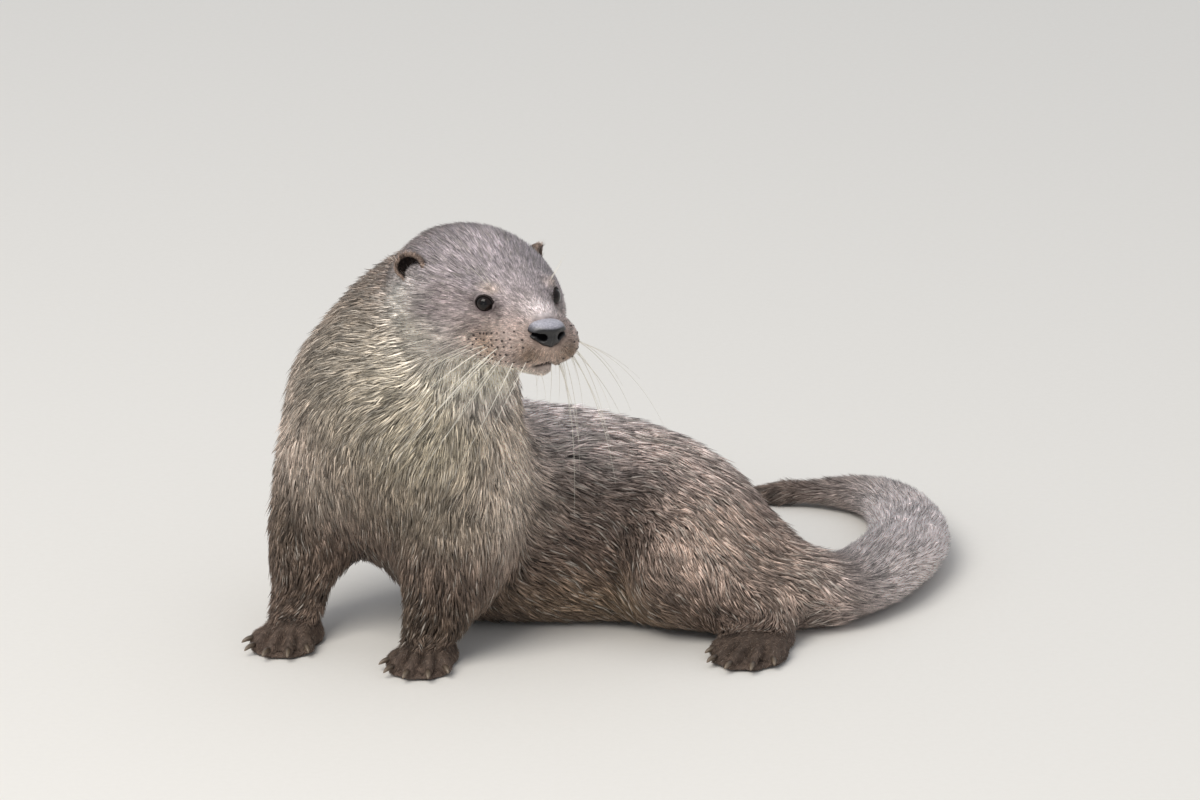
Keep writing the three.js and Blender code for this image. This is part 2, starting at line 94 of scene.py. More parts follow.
def addObject(name, verts, faces, smooth=True):
    mesh = bpy.data.meshes.new(name)
    faces = np.asarray(faces, np.int32)
    corners = faces.shape[1]
    mesh.vertices.add(len(verts))
    mesh.vertices.foreach_set("co", np.asarray(verts, np.float32).ravel())
    mesh.loops.add(faces.size)
    mesh.loops.foreach_set("vertex_index", faces.ravel())
    mesh.polygons.add(len(faces))
    mesh.polygons.foreach_set("loop_start", np.arange(len(faces), dtype=np.int32) * corners)
    mesh.polygons.foreach_set("use_smooth", np.full(len(faces), smooth))
    mesh.update(calc_edges=True)
    made = bpy.data.objects.new(name, mesh)
    bpy.context.scene.collection.objects.link(made)
    return made


def placesOf(mesh):
    co = np.empty(len(mesh.vertices) * 3, np.float32)
    mesh.vertices.foreach_get("co", co)
    return co.reshape(-1, 3).astype(float)


def trianglesOf(mesh):
    mesh.calc_loop_triangles()
    tri = np.empty(len(mesh.loop_triangles) * 3, np.int32)
    mesh.loop_triangles.foreach_get("vertices", tri)
    return tri.reshape(-1, 3)


def addNumbers(mesh, name, values):  # one number for each vertex
    mesh.attributes.new(name, "FLOAT", "POINT").data.foreach_set("value", np.asarray(values, np.float32))


def addColours(mesh, name, values):  # one linear colour for each vertex
    rgba = np.ones((len(values), 4), np.float32)
    rgba[:, :3] = values
    mesh.attributes.new(name, "FLOAT_COLOR", "POINT").data.foreach_set("color", rgba.ravel())


def treeOf(places):
    tree = KDTree(len(places))
    for n, place in enumerate(places):
        tree.insert(place, n)
    tree.balance()
    return tree


def nearestOf(places, targets):  # index of the nearest target to each place
    tree = treeOf(targets)
    return np.array([tree.find(place)[1] for place in places])


def outwardAt(places, tri):  # outward normals at the places
    a, b, c = places[tri[:, 0]], places[tri[:, 1]], places[tri[:, 2]]
    face = np.cross(b - a, c - a)
    total = np.zeros_like(places)
    for k in range(3):
        np.add.at(total, tri[:, k], face)
    return unit(total)


def joined(pieces):  # several (places, triangles) as one
    count, allPlaces, allTri = 0, [], []
    for places, tri in pieces:
        allPlaces.append(places)
        allTri.append(np.asarray(tri) + count)
        count += len(places)
    return np.vstack(allPlaces), np.vstack(allTri)


def gridTriangles(rings, around):  # triangles of closed rings of places, one ring after the other
    tri = []
    for r in range(rings - 1):
        for s in range(around):
            a, b = r * around + s, r * around + (s + 1) % around
            tri += [(a, b, a + around), (b, b + around, a + around)]
    return np.array(tri)


# the view
view = {
    "at": (-2.6, -4811.9, 1687.2),  # mm
    "aim": (-2.6, -56.6, 142.1),
    "lens": 258,
}
cameraData = bpy.data.cameras.new("camera")
cameraData.lens = view["lens"]
cameraData.sensor_width = 36
cameraData.clip_end = 100
camera = bpy.data.objects.new("camera", cameraData)
camera.location = Vector(view["at"]) * mm
camera.rotation_euler = (Vector(view["aim"]) - Vector(view["at"])).to_track_quat("-Z", "Y").to_euler()
bpy.context.scene.collection.objects.link(camera)
bpy.context.scene.camera = camera
bpy.context.scene.view_settings.view_transform = "Standard"


# the head's own directions, from its eyes and nose
eyeMiddle = {"left": middleOf("eye_left"), "right": middleOf("eye_right")}
packedEye = np.array([48, 22, 7.2])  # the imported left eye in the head's frame
eyeAt = np.array([46.8, 20.6, 6.8])  # the eyeball itself, set a little deeper
eyeRadius = 6.8
betweenEyes = (eyeMiddle["left"] + eyeMiddle["right"]) / 2
headLeft = unit(eyeMiddle["left"] - eyeMiddle["right"])
toNose = unit(middleOf("nose") - betweenEyes)
noseDrop = math.radians(12.66)  # the nose lies this far below the eyes' level
aboveNose = unit(np.cross(toNose, headLeft))
headFore = unit(toNose * math.cos(noseDrop) + aboveNose * math.sin(noseDrop))
headUp = np.cross(headFore, headLeft)
headAxes = np.array([headFore, headLeft, headUp])
headAt = betweenEyes - (packedEye[0] * headFore + packedEye[2] * headUp) * mm


def inHead(q):  # millimetres in the head's frame (fore, side, up) to places
    return headAt + (np.asarray(q, float) * mm) @ headAxes


def asHead(places):  # places to millimetres in the head's frame
    return ((np.asarray(places) - headAt) / mm) @ headAxes.T


def onSide(q, side):  # the left side's values for either side
    return np.array([q[0], q[1] * sides[side], q[2]], float)


# soft forms: the rough distance to a surface in millimetres, negative inside
def ellipsoid(q, centre, radii):
    local = (q - np.array(centre, float)) / np.array(radii, float)
    near = np.linalg.norm(local, axis=1)
    steep = np.linalg.norm(local / np.array(radii, float), axis=1)
    return near * (near - 1) / np.maximum(steep, 1e-9)


def limb(q, start, end, startRadius, endRadius):
    start, axis = np.array(start, float), np.subtract(end, start).astype(float)
    t = np.clip((q - start) @ axis / (axis @ axis), 0, 1)
    return np.linalg.norm(q - start - t[:, None] * axis, axis=1) - mix(startRadius, endRadius, t)


def filleted(a, b, fillet):
    h = np.maximum(fillet - np.abs(a - b), 0) / fillet
    return np.minimum(a, b) - h * h * fillet / 4


def drawnTo(field, q, rounds=6):  # moves places onto the field's surface
    for _ in range(rounds):
        f = field(q)
        slope = np.stack([(field(q + step) - field(q - step)) / 0.2 for step in np.eye(3) * 0.1], -1)
        q = q - slope * (f / np.maximum((slope ** 2).sum(1), 0.05))[:, None]
    return q


# Each form of the head in its frame: centre, radii and the fillet that joins it to the rest, in mm.
# Those off the middle stand on both sides.
headForms = {
    "brain case": ((-6, 0, -2), (50, 45, 34), 12),
    "forehead": ((30, 0, 1), (36, 31, 23), 14),
    "bridge": ((58.5, 0, 1), (28.5, 16.5, 14), 8),
    "upper lip": ((70, 0, -9.2), (20, 20, 13.2), 8),
    "whisker pad": ((65.5, 13.5, -10), (21.5, 14.5, 14), 6),
    "flews": ((50, 14.5, -17.5), (18, 11, 10.5), 7),
    "cheek": ((4, 25, -12), (42, 25, 27), 14),
    "brow": ((45, 21, 13), (13, 6.5, 6), 7),
    "cheekbone": ((41, 23, -2), (13, 6, 5), 7),
}
jawForm = {"back": (14, 0, -27), "tip": (81, 0, -20.4), "backRadius": 17, "tipRadius": 6.6, "fillet": 2}


def headField(q):
    total = np.full(len(q), 1e3)
    for centre, radii, fillet in headForms.values():
        for middle in mirrored(centre):
            total = filleted(total, ellipsoid(q, middle, radii), fillet)
    jaw = limb(q, jawForm["back"], jawForm["tip"], jawForm["backRadius"], jawForm["tipRadius"])
    fillet = mix(12, jawForm["fillet"], ease(q[:, 0], 25, 50))
    return filleted(total, jaw, fillet)


# the eyes' own directions: the look, back along the lids, and up
eyeShape = {
    "looks": (0.71, 0.66, 0.23),
    "cant": 8,  # degrees that the front corner dips
    "wide": 48,  # half the opening along the lids, in degrees from the look
    "high": 42,
    "lid": 0.95,  # mm from the ball to the lids' outer face
    "lidTo": (1.15, 1.8),  # where the lids run out into the face, if the opening's edge is 1
    "fold": (0.5, 1.5, 0.26),  # the fold behind them: mm deep, place and width
    "behind": 1.4,  # mm that the skin in the opening lies below the eyeball's surface
    "reach": 14,  # mm from the eyeball's middle that all this reaches
}
eyeAxes = {}
for side in sides:
    look = unit(onSide(eyeShape["looks"], side))
    back = unit(np.cross([0, 0, sides[side]], look))
    rise = np.cross(look, back) * sides[side]
    cant = math.radians(eyeShape["cant"])
    back, rise = back * math.cos(cant) + rise * math.sin(cant), rise * math.cos(cant) - back * math.sin(cant)
    eyeAxes[side] = np.array([look, back, rise])


def lidAngle(turn):  # from the look to the lids' edge, all the way round
    return np.radians(1 / np.hypot(np.cos(turn) / eyeShape["wide"], np.sin(turn) / eyeShape["high"]))


def lidPlace(q, side):  # 1 on the lids' edge, less in the opening, with the distance from the ball's middle
    d = q - onSide(eyeAt, side)
    far = np.linalg.norm(d, axis=1)
    x, y, z = eyeAxes[side] @ (d / np.maximum(far, 1e-6)[:, None]).T
    return np.arccos(np.clip(x, -1, 1)) / lidAngle(np.arctan2(z, y)), far


# the skin: the flesh nodes fused, smoothed and drawn in by the coat's depth
skinSizes = {
    "voxel": 2.5 * mm,
    "swell": 0.3 * mm,  # closes the thin cuts before the pieces fuse
    "blend": 26,  # rounds that soften the step from one region to the next
    "faceFrom": 16,  # mm forward in the head from which the mesh is finer
    "faceWithin": 60,  # mm to each side and up and down
    "pawReach": 0.66,  # the finer mesh round a foot's middle, as a share of the foot's size
    "eyeFine": 12.5,  # mm round the eyes and beside the mouth where it is finest
    "lipFine": 2.6,
    "lipsFrom": 38,
    "tailEndDepth": 0.6,  # the tail's last length has a thinner coat and less smoothing
    "tailEndRounds": 8,
}
# These fill the sockets and the seats of the ears and nose, so that the skin runs on behind them: places
# in the head and radii, in mm.
fills = {"socket": (7.3, 7.3, 7.3), "ear": ((-7, 38, 11), (9, 9, 9)), "nose": ((76, 0, 0), (9, 13, 10))}
# For each region: rounds of smoothing, coat depth, hair length, hair width and hairs per square cm.
regions = {
    "head": (20, 2.4, 12.5, 0.95, 100),
    "jaw": (10, 1.8, 6, 0.7, 130),
    "neck": (70, 5.5, 15, 0.86, 92),
    "chest": (70, 5.5, 15, 0.95, 78),
    "belly": (70, 5, 15, 1.3, 50),
    "hips": (70, 5, 15, 1.3, 50),
    "foreleg": (44, 4.2, 12, 1.15, 62),
    "hindleg": (44, 4.4, 13, 1.25, 56),
    "foot": (2, 1.1, 3.2, 0.55, 150),
    "tail": (38, 3.2, 9, 0.95, 95),
    "ear": (0, 0.8, 2.9, 0.5, 480),
}
fleshNodes = ["head", "jaw", "neck", "chest", "belly", "hips"]
fleshNodes += legs + [leg + "_foot" for leg in legs] + tails
earNodes = ["ear_left", "ear_right"]


def regionOf(node):
    return "foot" if node.endswith("_foot") else node.split("_")[0]


def facetsOf(node):  # the node's places with doubles merged, and its triangles
    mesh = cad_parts[node].data
    places, where = np.unique(placesOf(mesh).round(7), axis=0, return_inverse=True)
    return places, where.reshape(-1)[trianglesOf(mesh)]


def ball(centre, radii, rings=14, around=20):  # an ellipsoid in the head's directions, radii in mm
    down = np.pi * np.arange(1, rings) / rings
    turn = 2 * np.pi * np.arange(around) / around
    grid = np.stack(np.broadcast_arrays(np.cos(down)[:, None], np.sin(down)[:, None] * np.cos(turn),
                                        np.sin(down)[:, None] * np.sin(turn)), -1).reshape(-1, 3)
    local = np.vstack([grid, [[1, 0, 0], [-1, 0, 0]]]) * radii
    top, foot, last = len(grid), len(grid) + 1, (rings - 2) * around
    tri = [t[::-1] for t in gridTriangles(rings - 1, around).tolist()]
    for s in range(around):
        n = (s + 1) % around
        tri += [(top, s, n), (foot, last + n, last + s)]
    return centre + (local * mm) @ headAxes, np.array(tri)


def fused(name, pieces, voxel):  # closed pieces as one mesh of even small faces
    made = addObject(name, *joined(pieces))
    remesh = made.modifiers.new("fuse", "REMESH")
    remesh.mode = "VOXEL"
    remesh.voxel_size = voxel
    mesh = bpy.data.meshes.new_from_object(made.evaluated_get(bpy.context.evaluated_depsgraph_get()))
    bpy.data.objects.remove(made)
    return mesh


def finer(mesh, chosen):  # splits the chosen faces in four
    work = bmesh.new()
    work.from_mesh(mesh)
    work.faces.ensure_lookup_table()
    middles = np.array([face.calc_center_median() for face in work.faces])
    picked = [work.faces[n] for n in np.flatnonzero(chosen(asHead(middles)))]
    edges = list({edge for face in picked for edge in face.edges})
    bmesh.ops.subdivide_edges(work, edges=edges, cuts=1, use_grid_fill=True)
    bmesh.ops.triangulate(work, faces=[face for face in work.faces if len(face.verts) > 4])
    work.to_mesh(mesh)
    work.free()


def farFrom(q, middle):  # mm to a place that the head has on both sides
    return np.min([np.linalg.norm(q - onSide(middle, side), axis=1) for side in sides], 0)


# the mouth: its height in front, how far it drops to the corners, and its folds as height above the
# line, width and push, in mm: the groove, the upper lip's roll and the lower lip set back
lips = {
    "from": (36, 46),  # mm forward in the head where the lips begin and are full
    "height": -17.5,
    "drop": 11,
    "cornersAt": 19,
    "folds": [(0, 1, -1.6), (3, 2.4, 0.9), (-2.4, 2, -1.1)],
    "lineFrom": (40, 47),  # mm forward where the dark line of the mouth begins and is full
    "line": 1.3,  # its half width in mm, and the distance at which it ends
    "lineEnds": 3,
    # how dark the line of the mouth is made: dark lip skin and painted shade under the whisker pad
    "dark": 0.9,
}
furrow = {"deep": 0.6, "wide": 0.9, "from": (76, 82), "foot": (-18, -15), "top": (-8, -5)}  # under the nose
noseSeat = {"at": (85.8, 0, 1.8), "reach": (9, 11, 8.2), "deep": 3.4}
faceSkin = {
    "from": (-34, -8),  # mm forward where the sculpted head begins and is full
    "within": (2.5, 8),  # mm off its forms where it gives way to the rest of the skin
    "muzzleFrom": (22, 62),  # mm forward over which the coat gets shallower, and to what share
    "muzzleDepth": 0.42,
    "eyeReach": 14,  # mm round the eyes where it is shallower again
    "eyeDepth": 0.5,
}


def lipUp(q):  # how high the line of the mouth runs at each place of the head
    return lips["height"] - lips["drop"] * ease(np.abs(q[:, 1]), 0, lips["cornersAt"])


def inPaws(leg):  # middle and reach of a foot, less its sole
    corners, _ = facetsOf(leg + "_foot")
    return (corners.min(0) + corners.max(0)) / 2, (corners.max(0) - corners.min(0)) * skinSizes["pawReach"]


def makeSkinBase():
    pieces, samples, labels = [], [], []
    for node in fleshNodes:
        places, tri = facetsOf(node)
        pieces.append((places + outwardAt(places, tri) * skinSizes["swell"], tri))
        corners = places[tri]
        for share in ((1, 1, 1), (4, 1, 1), (1, 4, 1), (1, 1, 4)):
            samples.append(np.einsum("k,nkc->nc", np.array(share) / sum(share), corners))
            labels += [node] * len(tri)
    earSeat, earFill = fills["ear"]
    noseMiddle, noseFill = fills["nose"]
    for side in sides:
        pieces.append(ball(eyeMiddle[side], fills["socket"]))
        pieces.append(ball(inHead(onSide(earSeat, side)), earFill))
    pieces.append(ball(inHead(noseMiddle), noseFill))
    mesh = fused("skinBase", pieces, skinSizes["voxel"])
    finer(mesh, lambda q: (q[:, 0] > skinSizes["faceFrom"])
          & (np.abs(q[:, 1:]) < skinSizes["faceWithin"]).all(1))
    paws = [inPaws(leg) for leg in legs]
    finer(mesh, lambda q: np.any([np.linalg.norm((inHead(q) - at) / reach, axis=1) < 1
                                  for at, reach in paws], 0))
    finer(mesh, lambda q: (farFrom(q, eyeAt) < skinSizes["eyeFine"])
          | ((q[:, 0] > skinSizes["lipsFrom"]) & (np.abs(q[:, 2] - lipUp(q)) < skinSizes["lipFine"])))
    return mesh, np.vstack(samples), labels


def spread(values, pairs, count):  # mean of each vertex's neighbours
    total = np.stack([np.bincount(pairs.ravel(), values[pairs[:, ::-1].ravel(), k], count)
                      for k in range(values.shape[1])], -1)
    return total / np.maximum(np.bincount(pairs.ravel(), minlength=count), 1)[:, None]


skinBase, samples, labels = makeSkinBase()
places = placesOf(skinBase)
tri = trianglesOf(skinBase)
pairs = np.empty(len(skinBase.edges) * 2, np.int32)
skinBase.edges.foreach_get("vertices", pairs)
pairs = pairs.reshape(-1, 2)
print("skin fused:", len(places), "places,", len(tri), "triangles")

nearNode = np.array([labels[n] for n in nearestOf(places, samples)])
regionNames = list(regions)
nearRegion = np.array([regionNames.index(regionOf(node)) for node in nearNode])
isHead = np.isin(nearNode, ["head", "jaw"])
numbers = np.column_stack([np.array([regions[name] for name in regionNames], float)[nearRegion], isHead])
for _ in range(skinSizes["blend"]):
    numbers = mix(numbers, spread(numbers, pairs, len(places)), 0.8)
rounds, depth, hairLength, hairWidth, hairCount, headShare = numbers.T
depth = np.where(nearNode == "tail_5", depth * skinSizes["tailEndDepth"], depth)
rounds = np.where(nearNode == "tail_5", skinSizes["tailEndRounds"], rounds)
for n in range(int(rounds.max())):
    share = np.clip(rounds - n, 0, 1)[:, None] * 0.75
    places = mix(places, spread(places, pairs, len(places)), share)
print("skin smoothed")


# the face, sculpted in the head's frame
def sculpted(places, normals, depth):
    q = asHead(places)
    outward = normals @ headAxes.T
    thin = depth * mix(1, faceSkin["muzzleDepth"], ease(q[:, 0], *faceSkin["muzzleFrom"]))
    thin = thin * mix(1, faceSkin["eyeDepth"], hump(farFrom(q, eyeAt) / faceSkin["eyeReach"]))
    share = headShare * ease(q[:, 0], *faceSkin["from"]) * (1 - ease(headField(q), *faceSkin["within"]))
    onForm = drawnTo(lambda p: headField(p) + thin, q)
    q = mix(q - outward * depth[:, None], onForm, share[:, None])
    above = q[:, 2] - lipUp(q)
    here = ease(q[:, 0], *lips["from"]) * share
    push = sum(high * hump((above - at) / wide) for at, wide, high in lips["folds"])
    push -= (furrow["deep"] * hump(q[:, 1] / furrow["wide"]) * ease(q[:, 0], *furrow["from"])
             * ease(q[:, 2], *furrow["foot"]) * (1 - ease(q[:, 2], *furrow["top"])))
    push -= noseSeat["deep"] * hump(np.linalg.norm((q - noseSeat["at"]) / noseSeat["reach"], axis=1) ** 2)
    q = q + outward * (push * here)[:, None]
    # the lids stand round the eyeballs, and the skin inside the opening goes in behind them
    foldDeep, foldAt, foldWide = eyeShape["fold"]
    for side in sides:
        edge, far = lidPlace(q, side)
        middle = onSide(eyeAt, side)
        ray = (q - middle) / np.maximum(far, 1e-6)[:, None]
        lid = eyeRadius + eyeShape["lid"]
        on = 1 - ease(edge, *eyeShape["lidTo"])
        want = mix(far, np.maximum(lid, mix(far, lid, 0.9)), on)
        want = want - foldDeep * hump((edge - foldAt) / foldWide)
        want = np.where(edge < 1, eyeRadius - eyeShape["behind"], want)
        want = np.where((far < eyeShape["reach"]) & (edge < eyeShape["lidTo"][1]), want, far)
        q = middle + ray * want[:, None]
    return inHead(q)


def clawEnds(leg, n):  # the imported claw's root and tip
    corners, _ = facetsOf("%s_claw_%d" % (leg, n))
    far = ((corners - middleOf(leg + "_foot"))[:, :2] ** 2).sum(1)
    return corners[np.argsort(far)[:6]].mean(0), corners[far.argmax()]


# toes: how far they reach from the ankle in mm and the degrees between them; web lies between
toes = {
    "reach": {"foreleg": 37, "hindleg": 51},
    "spread": {"foreleg": 19, "hindleg": 15},
    "notch": 6.5,  # mm that the web's edge stands back from the toes' ends
    "web": 4,  # mm that the web lies below the toes' backs
    "knuckle": 1.3,
}


def toed(places, normals):
    for leg in legs:
        kind = leg.split("_")[0]
        long, spread = toes["reach"][kind], toes["spread"][kind]
        rear, tip = clawEnds(leg, 3)
        ahead = unit((tip - rear) * [1, 1, 0])
        local = (places - rear) / mm
        x = local @ ahead + long
        y = local @ np.cross([0, 0, 1], ahead)
        far, place = np.hypot(x, y), np.degrees(np.arctan2(y, x)) / spread
        mine = (nearRegion == regionNames.index("foot")) & (x > 0) & (far < long * 1.4)
        mine &= np.abs(place) < 2.5
        between = (0.5 - 0.5 * np.cos(2 * np.pi * place)) ** 1.4 * (np.abs(place) < 2) * mine
        above = ease(normals[:, 2], -0.6, 0)
        on = ease(far, 0.42 * long, 0.75 * long) * above
        push = -on * between * mix(toes["notch"], toes["web"], ease(normals[:, 2], 0.2, 0.8))
        push += toes["knuckle"] * hump((far - 0.72 * long) / 5) * (1 - between) * above * mine
        places = places + normals * (push * mm)[:, None]
    return places


# hollows of the body: centre and reach, and how deep each goes, in mm
hollows = {
    "before the thigh": ((12, -66, 56), (11, 30, 32), 4.5),
    "above the thigh": ((36, -46, 97), (20, 16, 7), 2),
    "behind the elbow": ((-62, -84, 48), (10, 24, 26), 3),
    "under the thigh": ((58, -88, 22), (26, 18, 7), 3),
}
normals = outwardAt(places, tri)
places = sculpted(places, normals, depth)
for centre, reach, deepest in hollows.values():
    near = np.exp(-(((places / mm - centre) / reach) ** 2).sum(1))
    places = places - normals * (deepest * mm * near)[:, None]
places = toed(places, normals)
print("head and feet sculpted")


# ears and lids, joined into the same skin
earShape = {
    "at": (-3.4, 42.3, 11.2),
    "faces": (0.6, 0.78, 0.12),
    "radius": 9.2,
    "deep": 6.5,
    "rim": 1.9,  # thickness of the rim
    "hollow": 4.4,
    "around": 48,
    "lower": {"left": 2.4, "right": 0},  # mm that the ear is held down
}


def earMesh(side):
    axis = unit(onSide(earShape["faces"], side))
    rise = unit(np.array([0, 0, 1]) - axis * axis[2])
    across = np.cross(rise, axis) * sides[side]  # towards the nose on either side
    turn = 2 * np.pi * np.arange(earShape["around"]) / earShape["around"]
    tall = 1 + 0.05 * np.cos(turn) - 0.22 * hump((np.abs(turn - 2.5)) / 0.45)  # the notch low in front
    rings = []
    for t in np.linspace(0.12, 1, 9) * np.pi * 0.56:  # the back, from its middle to the rim
        rings.append((earShape["radius"] * math.sin(t), -earShape["deep"] * math.cos(t)))
    outer, face = rings[-1]
    rings.append((outer - 0.3 * earShape["rim"], face + 0.45 * earShape["rim"]))
    rings.append((outer - 0.75 * earShape["rim"], face + 0.4 * earShape["rim"]))
    for t in np.linspace(1, 0.08, 8) * np.pi / 2:  # the bowl
        rings.append(((outer - earShape["rim"]) * math.sin(t), face - 0.2 - earShape["hollow"] * math.cos(t)))
    q = []
    for radius, out in rings:
        ripple = 0.25 * np.sin(3 * turn + 1) * radius / outer
        q.append((out + ripple)[:, None] * axis + (radius * tall)[:, None]
                 * (np.cos(turn)[:, None] * rise + np.sin(turn)[:, None] * across))
    q = np.vstack(q) + onSide(earShape["at"], side) - [0, 0, earShape["lower"][side]]
    tri = gridTriangles(len(rings), earShape["around"])
    if sides[side] < 0:
        tri = tri[:, ::-1]
    inner = np.repeat(np.arange(len(rings)) >= 11, earShape["around"])
    back = np.repeat(np.arange(len(rings)) < 10, earShape["around"])
    return inHead(q), tri, inner.astype(float), back.astype(float)


lidRim = {
    "around": 56,
    "section": 10,
    "thick": 0.5,  # mm, as a radius, and how much more or less the upper and lower lids have
    "fuller": 0.12,
    "flat": 1.15,  # its width against its height
    "out": 0.25,  # mm that its middle stands off the eyeball
    "corner": 0.16,  # how far the front corner draws out, as a share
}


def lidMesh(side):  # the rim of the lids, round the opening
    steps, section = lidRim["around"], lidRim["section"]
    turn = 2 * np.pi * np.arange(steps) / steps
    edge = lidAngle(turn) * (1 + lidRim["corner"] * hump((turn - np.pi) / 0.3))
    fat = lidRim["thick"] + lidRim["fuller"] * np.sin(turn)
    q = []
    for s in range(section):
        a = 2 * np.pi * s / section
        angle = edge + (0.04 + fat * lidRim["flat"] * math.cos(a)) / eyeRadius
        reach = eyeRadius + lidRim["out"] + fat * math.sin(a)
        local = np.stack([np.cos(angle), np.sin(angle) * np.cos(turn), np.sin(angle) * np.sin(turn)], -1)
        q.append((local * reach[:, None]) @ eyeAxes[side])
    q = np.vstack(q) + onSide(eyeAt, side)
    tri = gridTriangles(section + 1, steps) % (section * steps)
    if sides[side] > 0:
        tri = tri[:, ::-1]
    return inHead(q), tri


bareTotal = [np.zeros(len(places))]  # 1 where no coat grows and the colour is its own
extra = [(places, tri)]
earParts, lidParts = {}, {}
for side in sides:
    earPlaces, earTri, inner, back = earMesh(side)
    earParts[side] = (sum(len(piece[0]) for piece in extra), inner, back)
    extra.append((earPlaces, earTri))
    bareTotal.append(inner)
    lidPlaces, lidTri = lidMesh(side)
    lidParts[side] = (sum(len(piece[0]) for piece in extra), len(lidPlaces))
    extra.append((lidPlaces, lidTri))
    bareTotal.append(np.ones(len(lidPlaces)))
mainCount = len(places)
places, tri = joined(extra)
bare = np.concatenate(bareTotal)
normals = outwardAt(places, tri)
headShare = np.concatenate([headShare, np.ones(len(places) - mainCount)])
q = asHead(places)


# Markings of the body, with painted sheen, highlight and shade among them: centre and reach in mm, colour and
# share; the head's are in its own frame.
bodyColours = {
    "base": "#716057",
    "patches": {
        # painted sheen: the pale top of the back and loin stands for sky light on the damp coat
        "back": ((-6, 8, 114), (140, 62, 32), "#e4dad8", 0.9),
        "loinSheen": ((40, -20, 105), (55, 50, 26), "#b5a49c", 0.8),
        "flankTop": ((-20, -60, 84), (40, 30, 22), "#5f534b", 0.75),
        # painted highlight: the thigh is lighter where the light falls on it
        "thigh": ((62, -76, 70), (38, 40, 34), "#b7a498", 0.9),
        # painted shade: dark in the hollow before the thigh and down towards the hind foot
        "thighFrontShade": ((12, -70, 62), (14, 40, 36), "#4b3f38", 0.75),
        "thighFoot": ((14, -74, 24), (22, 34, 20), "#40352e", 0.8),
        "chestLeft": ((-172, -90, 108), (26, 40, 26), "#a79d90", 0.7),
        "flankLow": ((-20, -70, 22), (50, 40, 22), "#86725d", 0.7),
        "rump": ((104, -62, 34), (34, 40, 32), "#99877b", 0.85),
        "rumpLow": ((84, -92, 16), (34, 30, 16), "#5d4e45", 0.7),
        # painted sheen: the pale upper tail and its root stand for sky light on the damp coat
        "tail": ((186, 50, 26), (60, 130, 40), "#e5dbda", 0.95),
        "tailRoot": ((172, -24, 30), (24, 30, 18), "#ded3d0", 0.8),
        "tailEnd": ((80, 172, 6), (60, 30, 30), "#655a53", 0.85),
        "nape": ((-120, -35, 190), (52, 40, 60), "#b7a89d", 0.9),
        "neckBack": ((-176, -76, 140), (26, 40, 44), "#c6b6ab", 0.8),
        "neckSide": ((-146, -100, 172), (50, 50, 50), "#8f867b", 0.95),
        "throat": ((-84, -130, 186), (50, 40, 36), "#cdc6b8", 1.0),
        # the chest's own cream, darkened by painted shade under the chin and head
        "chest": ((-92, -128, 140), (52, 44, 40), "#9e9686", 0.95),
        "chestLowToneAndShade": ((-92, -122, 100), (48, 40, 26), "#8a8073", 0.8),
        "chestSide": ((-52, -96, 126), (22, 40, 50), "#c8bbaf", 0.85),
        "shoulder": ((-184, -66, 76), (20, 50, 34), "#574c41", 0.75),
        "forelegs": ((-125, -105, 32), (100, 60, 36), "#4b4035", 0.9),
        "hindlegs": ((80, -110, 8), (60, 40, 16), "#54473e", 0.85),
        "belly": ((-20, -10, -5), (120, 70, 26), "#75695b", 0.8),
    },
}
headColours = {
    "base": "#aaa1a5",
    "patches": {
        "crownBack": ((-34, 0, 22), (34, 46, 26), "#ada1a1", 0.8),
        "cheek": ((14, 46, -18), (32, 26, 18), "#cdc6bb", 1.0),
        "underEar": ((2, 48, -6), (15, 15, 13), "#ece7e0", 0.95),
        "throat": ((12, 0, -46), (64, 60, 19), "#e4dfd2", 1.0),
        "cheekMiddle": ((30, 38, -3), (16, 15, 7), "#94898a", 0.85),
        "jaw": ((60, 0, -32), (40, 26, 10), "#e6e1d5", 1.0),
        "muzzle": ((76, 0, -8), (26, 24, 15), "#c9ae9b", 1.0),
        "muzzleFront": ((87, 13, -11), (8, 8, 7), "#7d6957", 0.85),
        "padSide": ((62, 26, -12), (15, 12, 12), "#cbb29f", 0.95),
        "aboveNose": ((77, 0, 12), (10, 12, 5), "#efe6e8", 0.85),
        "lipEdge": ((66, 22, -24), (20, 12, 4), "#e0d2c4", 0.8),
        "behindEye": ((30, 32, 5), (13, 9, 8), "#a8999a", 0.7),
        "underEye": ((50, 27, -4), (12, 9, 5), "#877b7a", 0.8),
        "browSpot": ((50, 20, 16), (6, 5, 2.6), "#cbb8ab", 0.75),
        # painted sheen: the top of the head is paler where it catches the sky
        "crownSheen": ((20, 0, 34), (26, 26, 14), "#c2b8be", 0.65),
        "eyeDark": ((48, 24, 7.5), (9, 8, 6), "#5a4b46", 0.85),
        "eyeFront": ((57, 18, 4.5), (5.5, 5, 4), "#3c3130", 0.9),
        "noseSeat": ((84, 0, 0.5), (5, 13, 9.5), "#4a4041", 0.8),
    },
}


# Skin that shows: the line of the mouth, which also holds painted shade under the whisker pad, the ears and
# the lids.
bareColours = {"mouth": "#2b211f", "earRim": "#927f74", "earBowl": "#251a16", "lid": "#231b1a",
               "lowerLid": "#77696a"}


def marked(places, marks, bothSides):  # the coat's colour at each place
    colour = np.tile(tinted(marks["base"]), (len(places), 1))
    for centre, reach, text, share in marks["patches"].values():
        for middle in (mirrored(centre) if bothSides else [centre]):
            near = np.exp(-(((places - np.array(middle)) / reach) ** 2).sum(1))
            colour = mix(colour, tinted(text), (share * near)[:, None])
    return colour


hue = mix(marked(places / mm, bodyColours, False), marked(q, headColours, True),
          (headShare * ease(q[:, 0], -42, 4))[:, None])
above = q[:, 2] - lipUp(q)
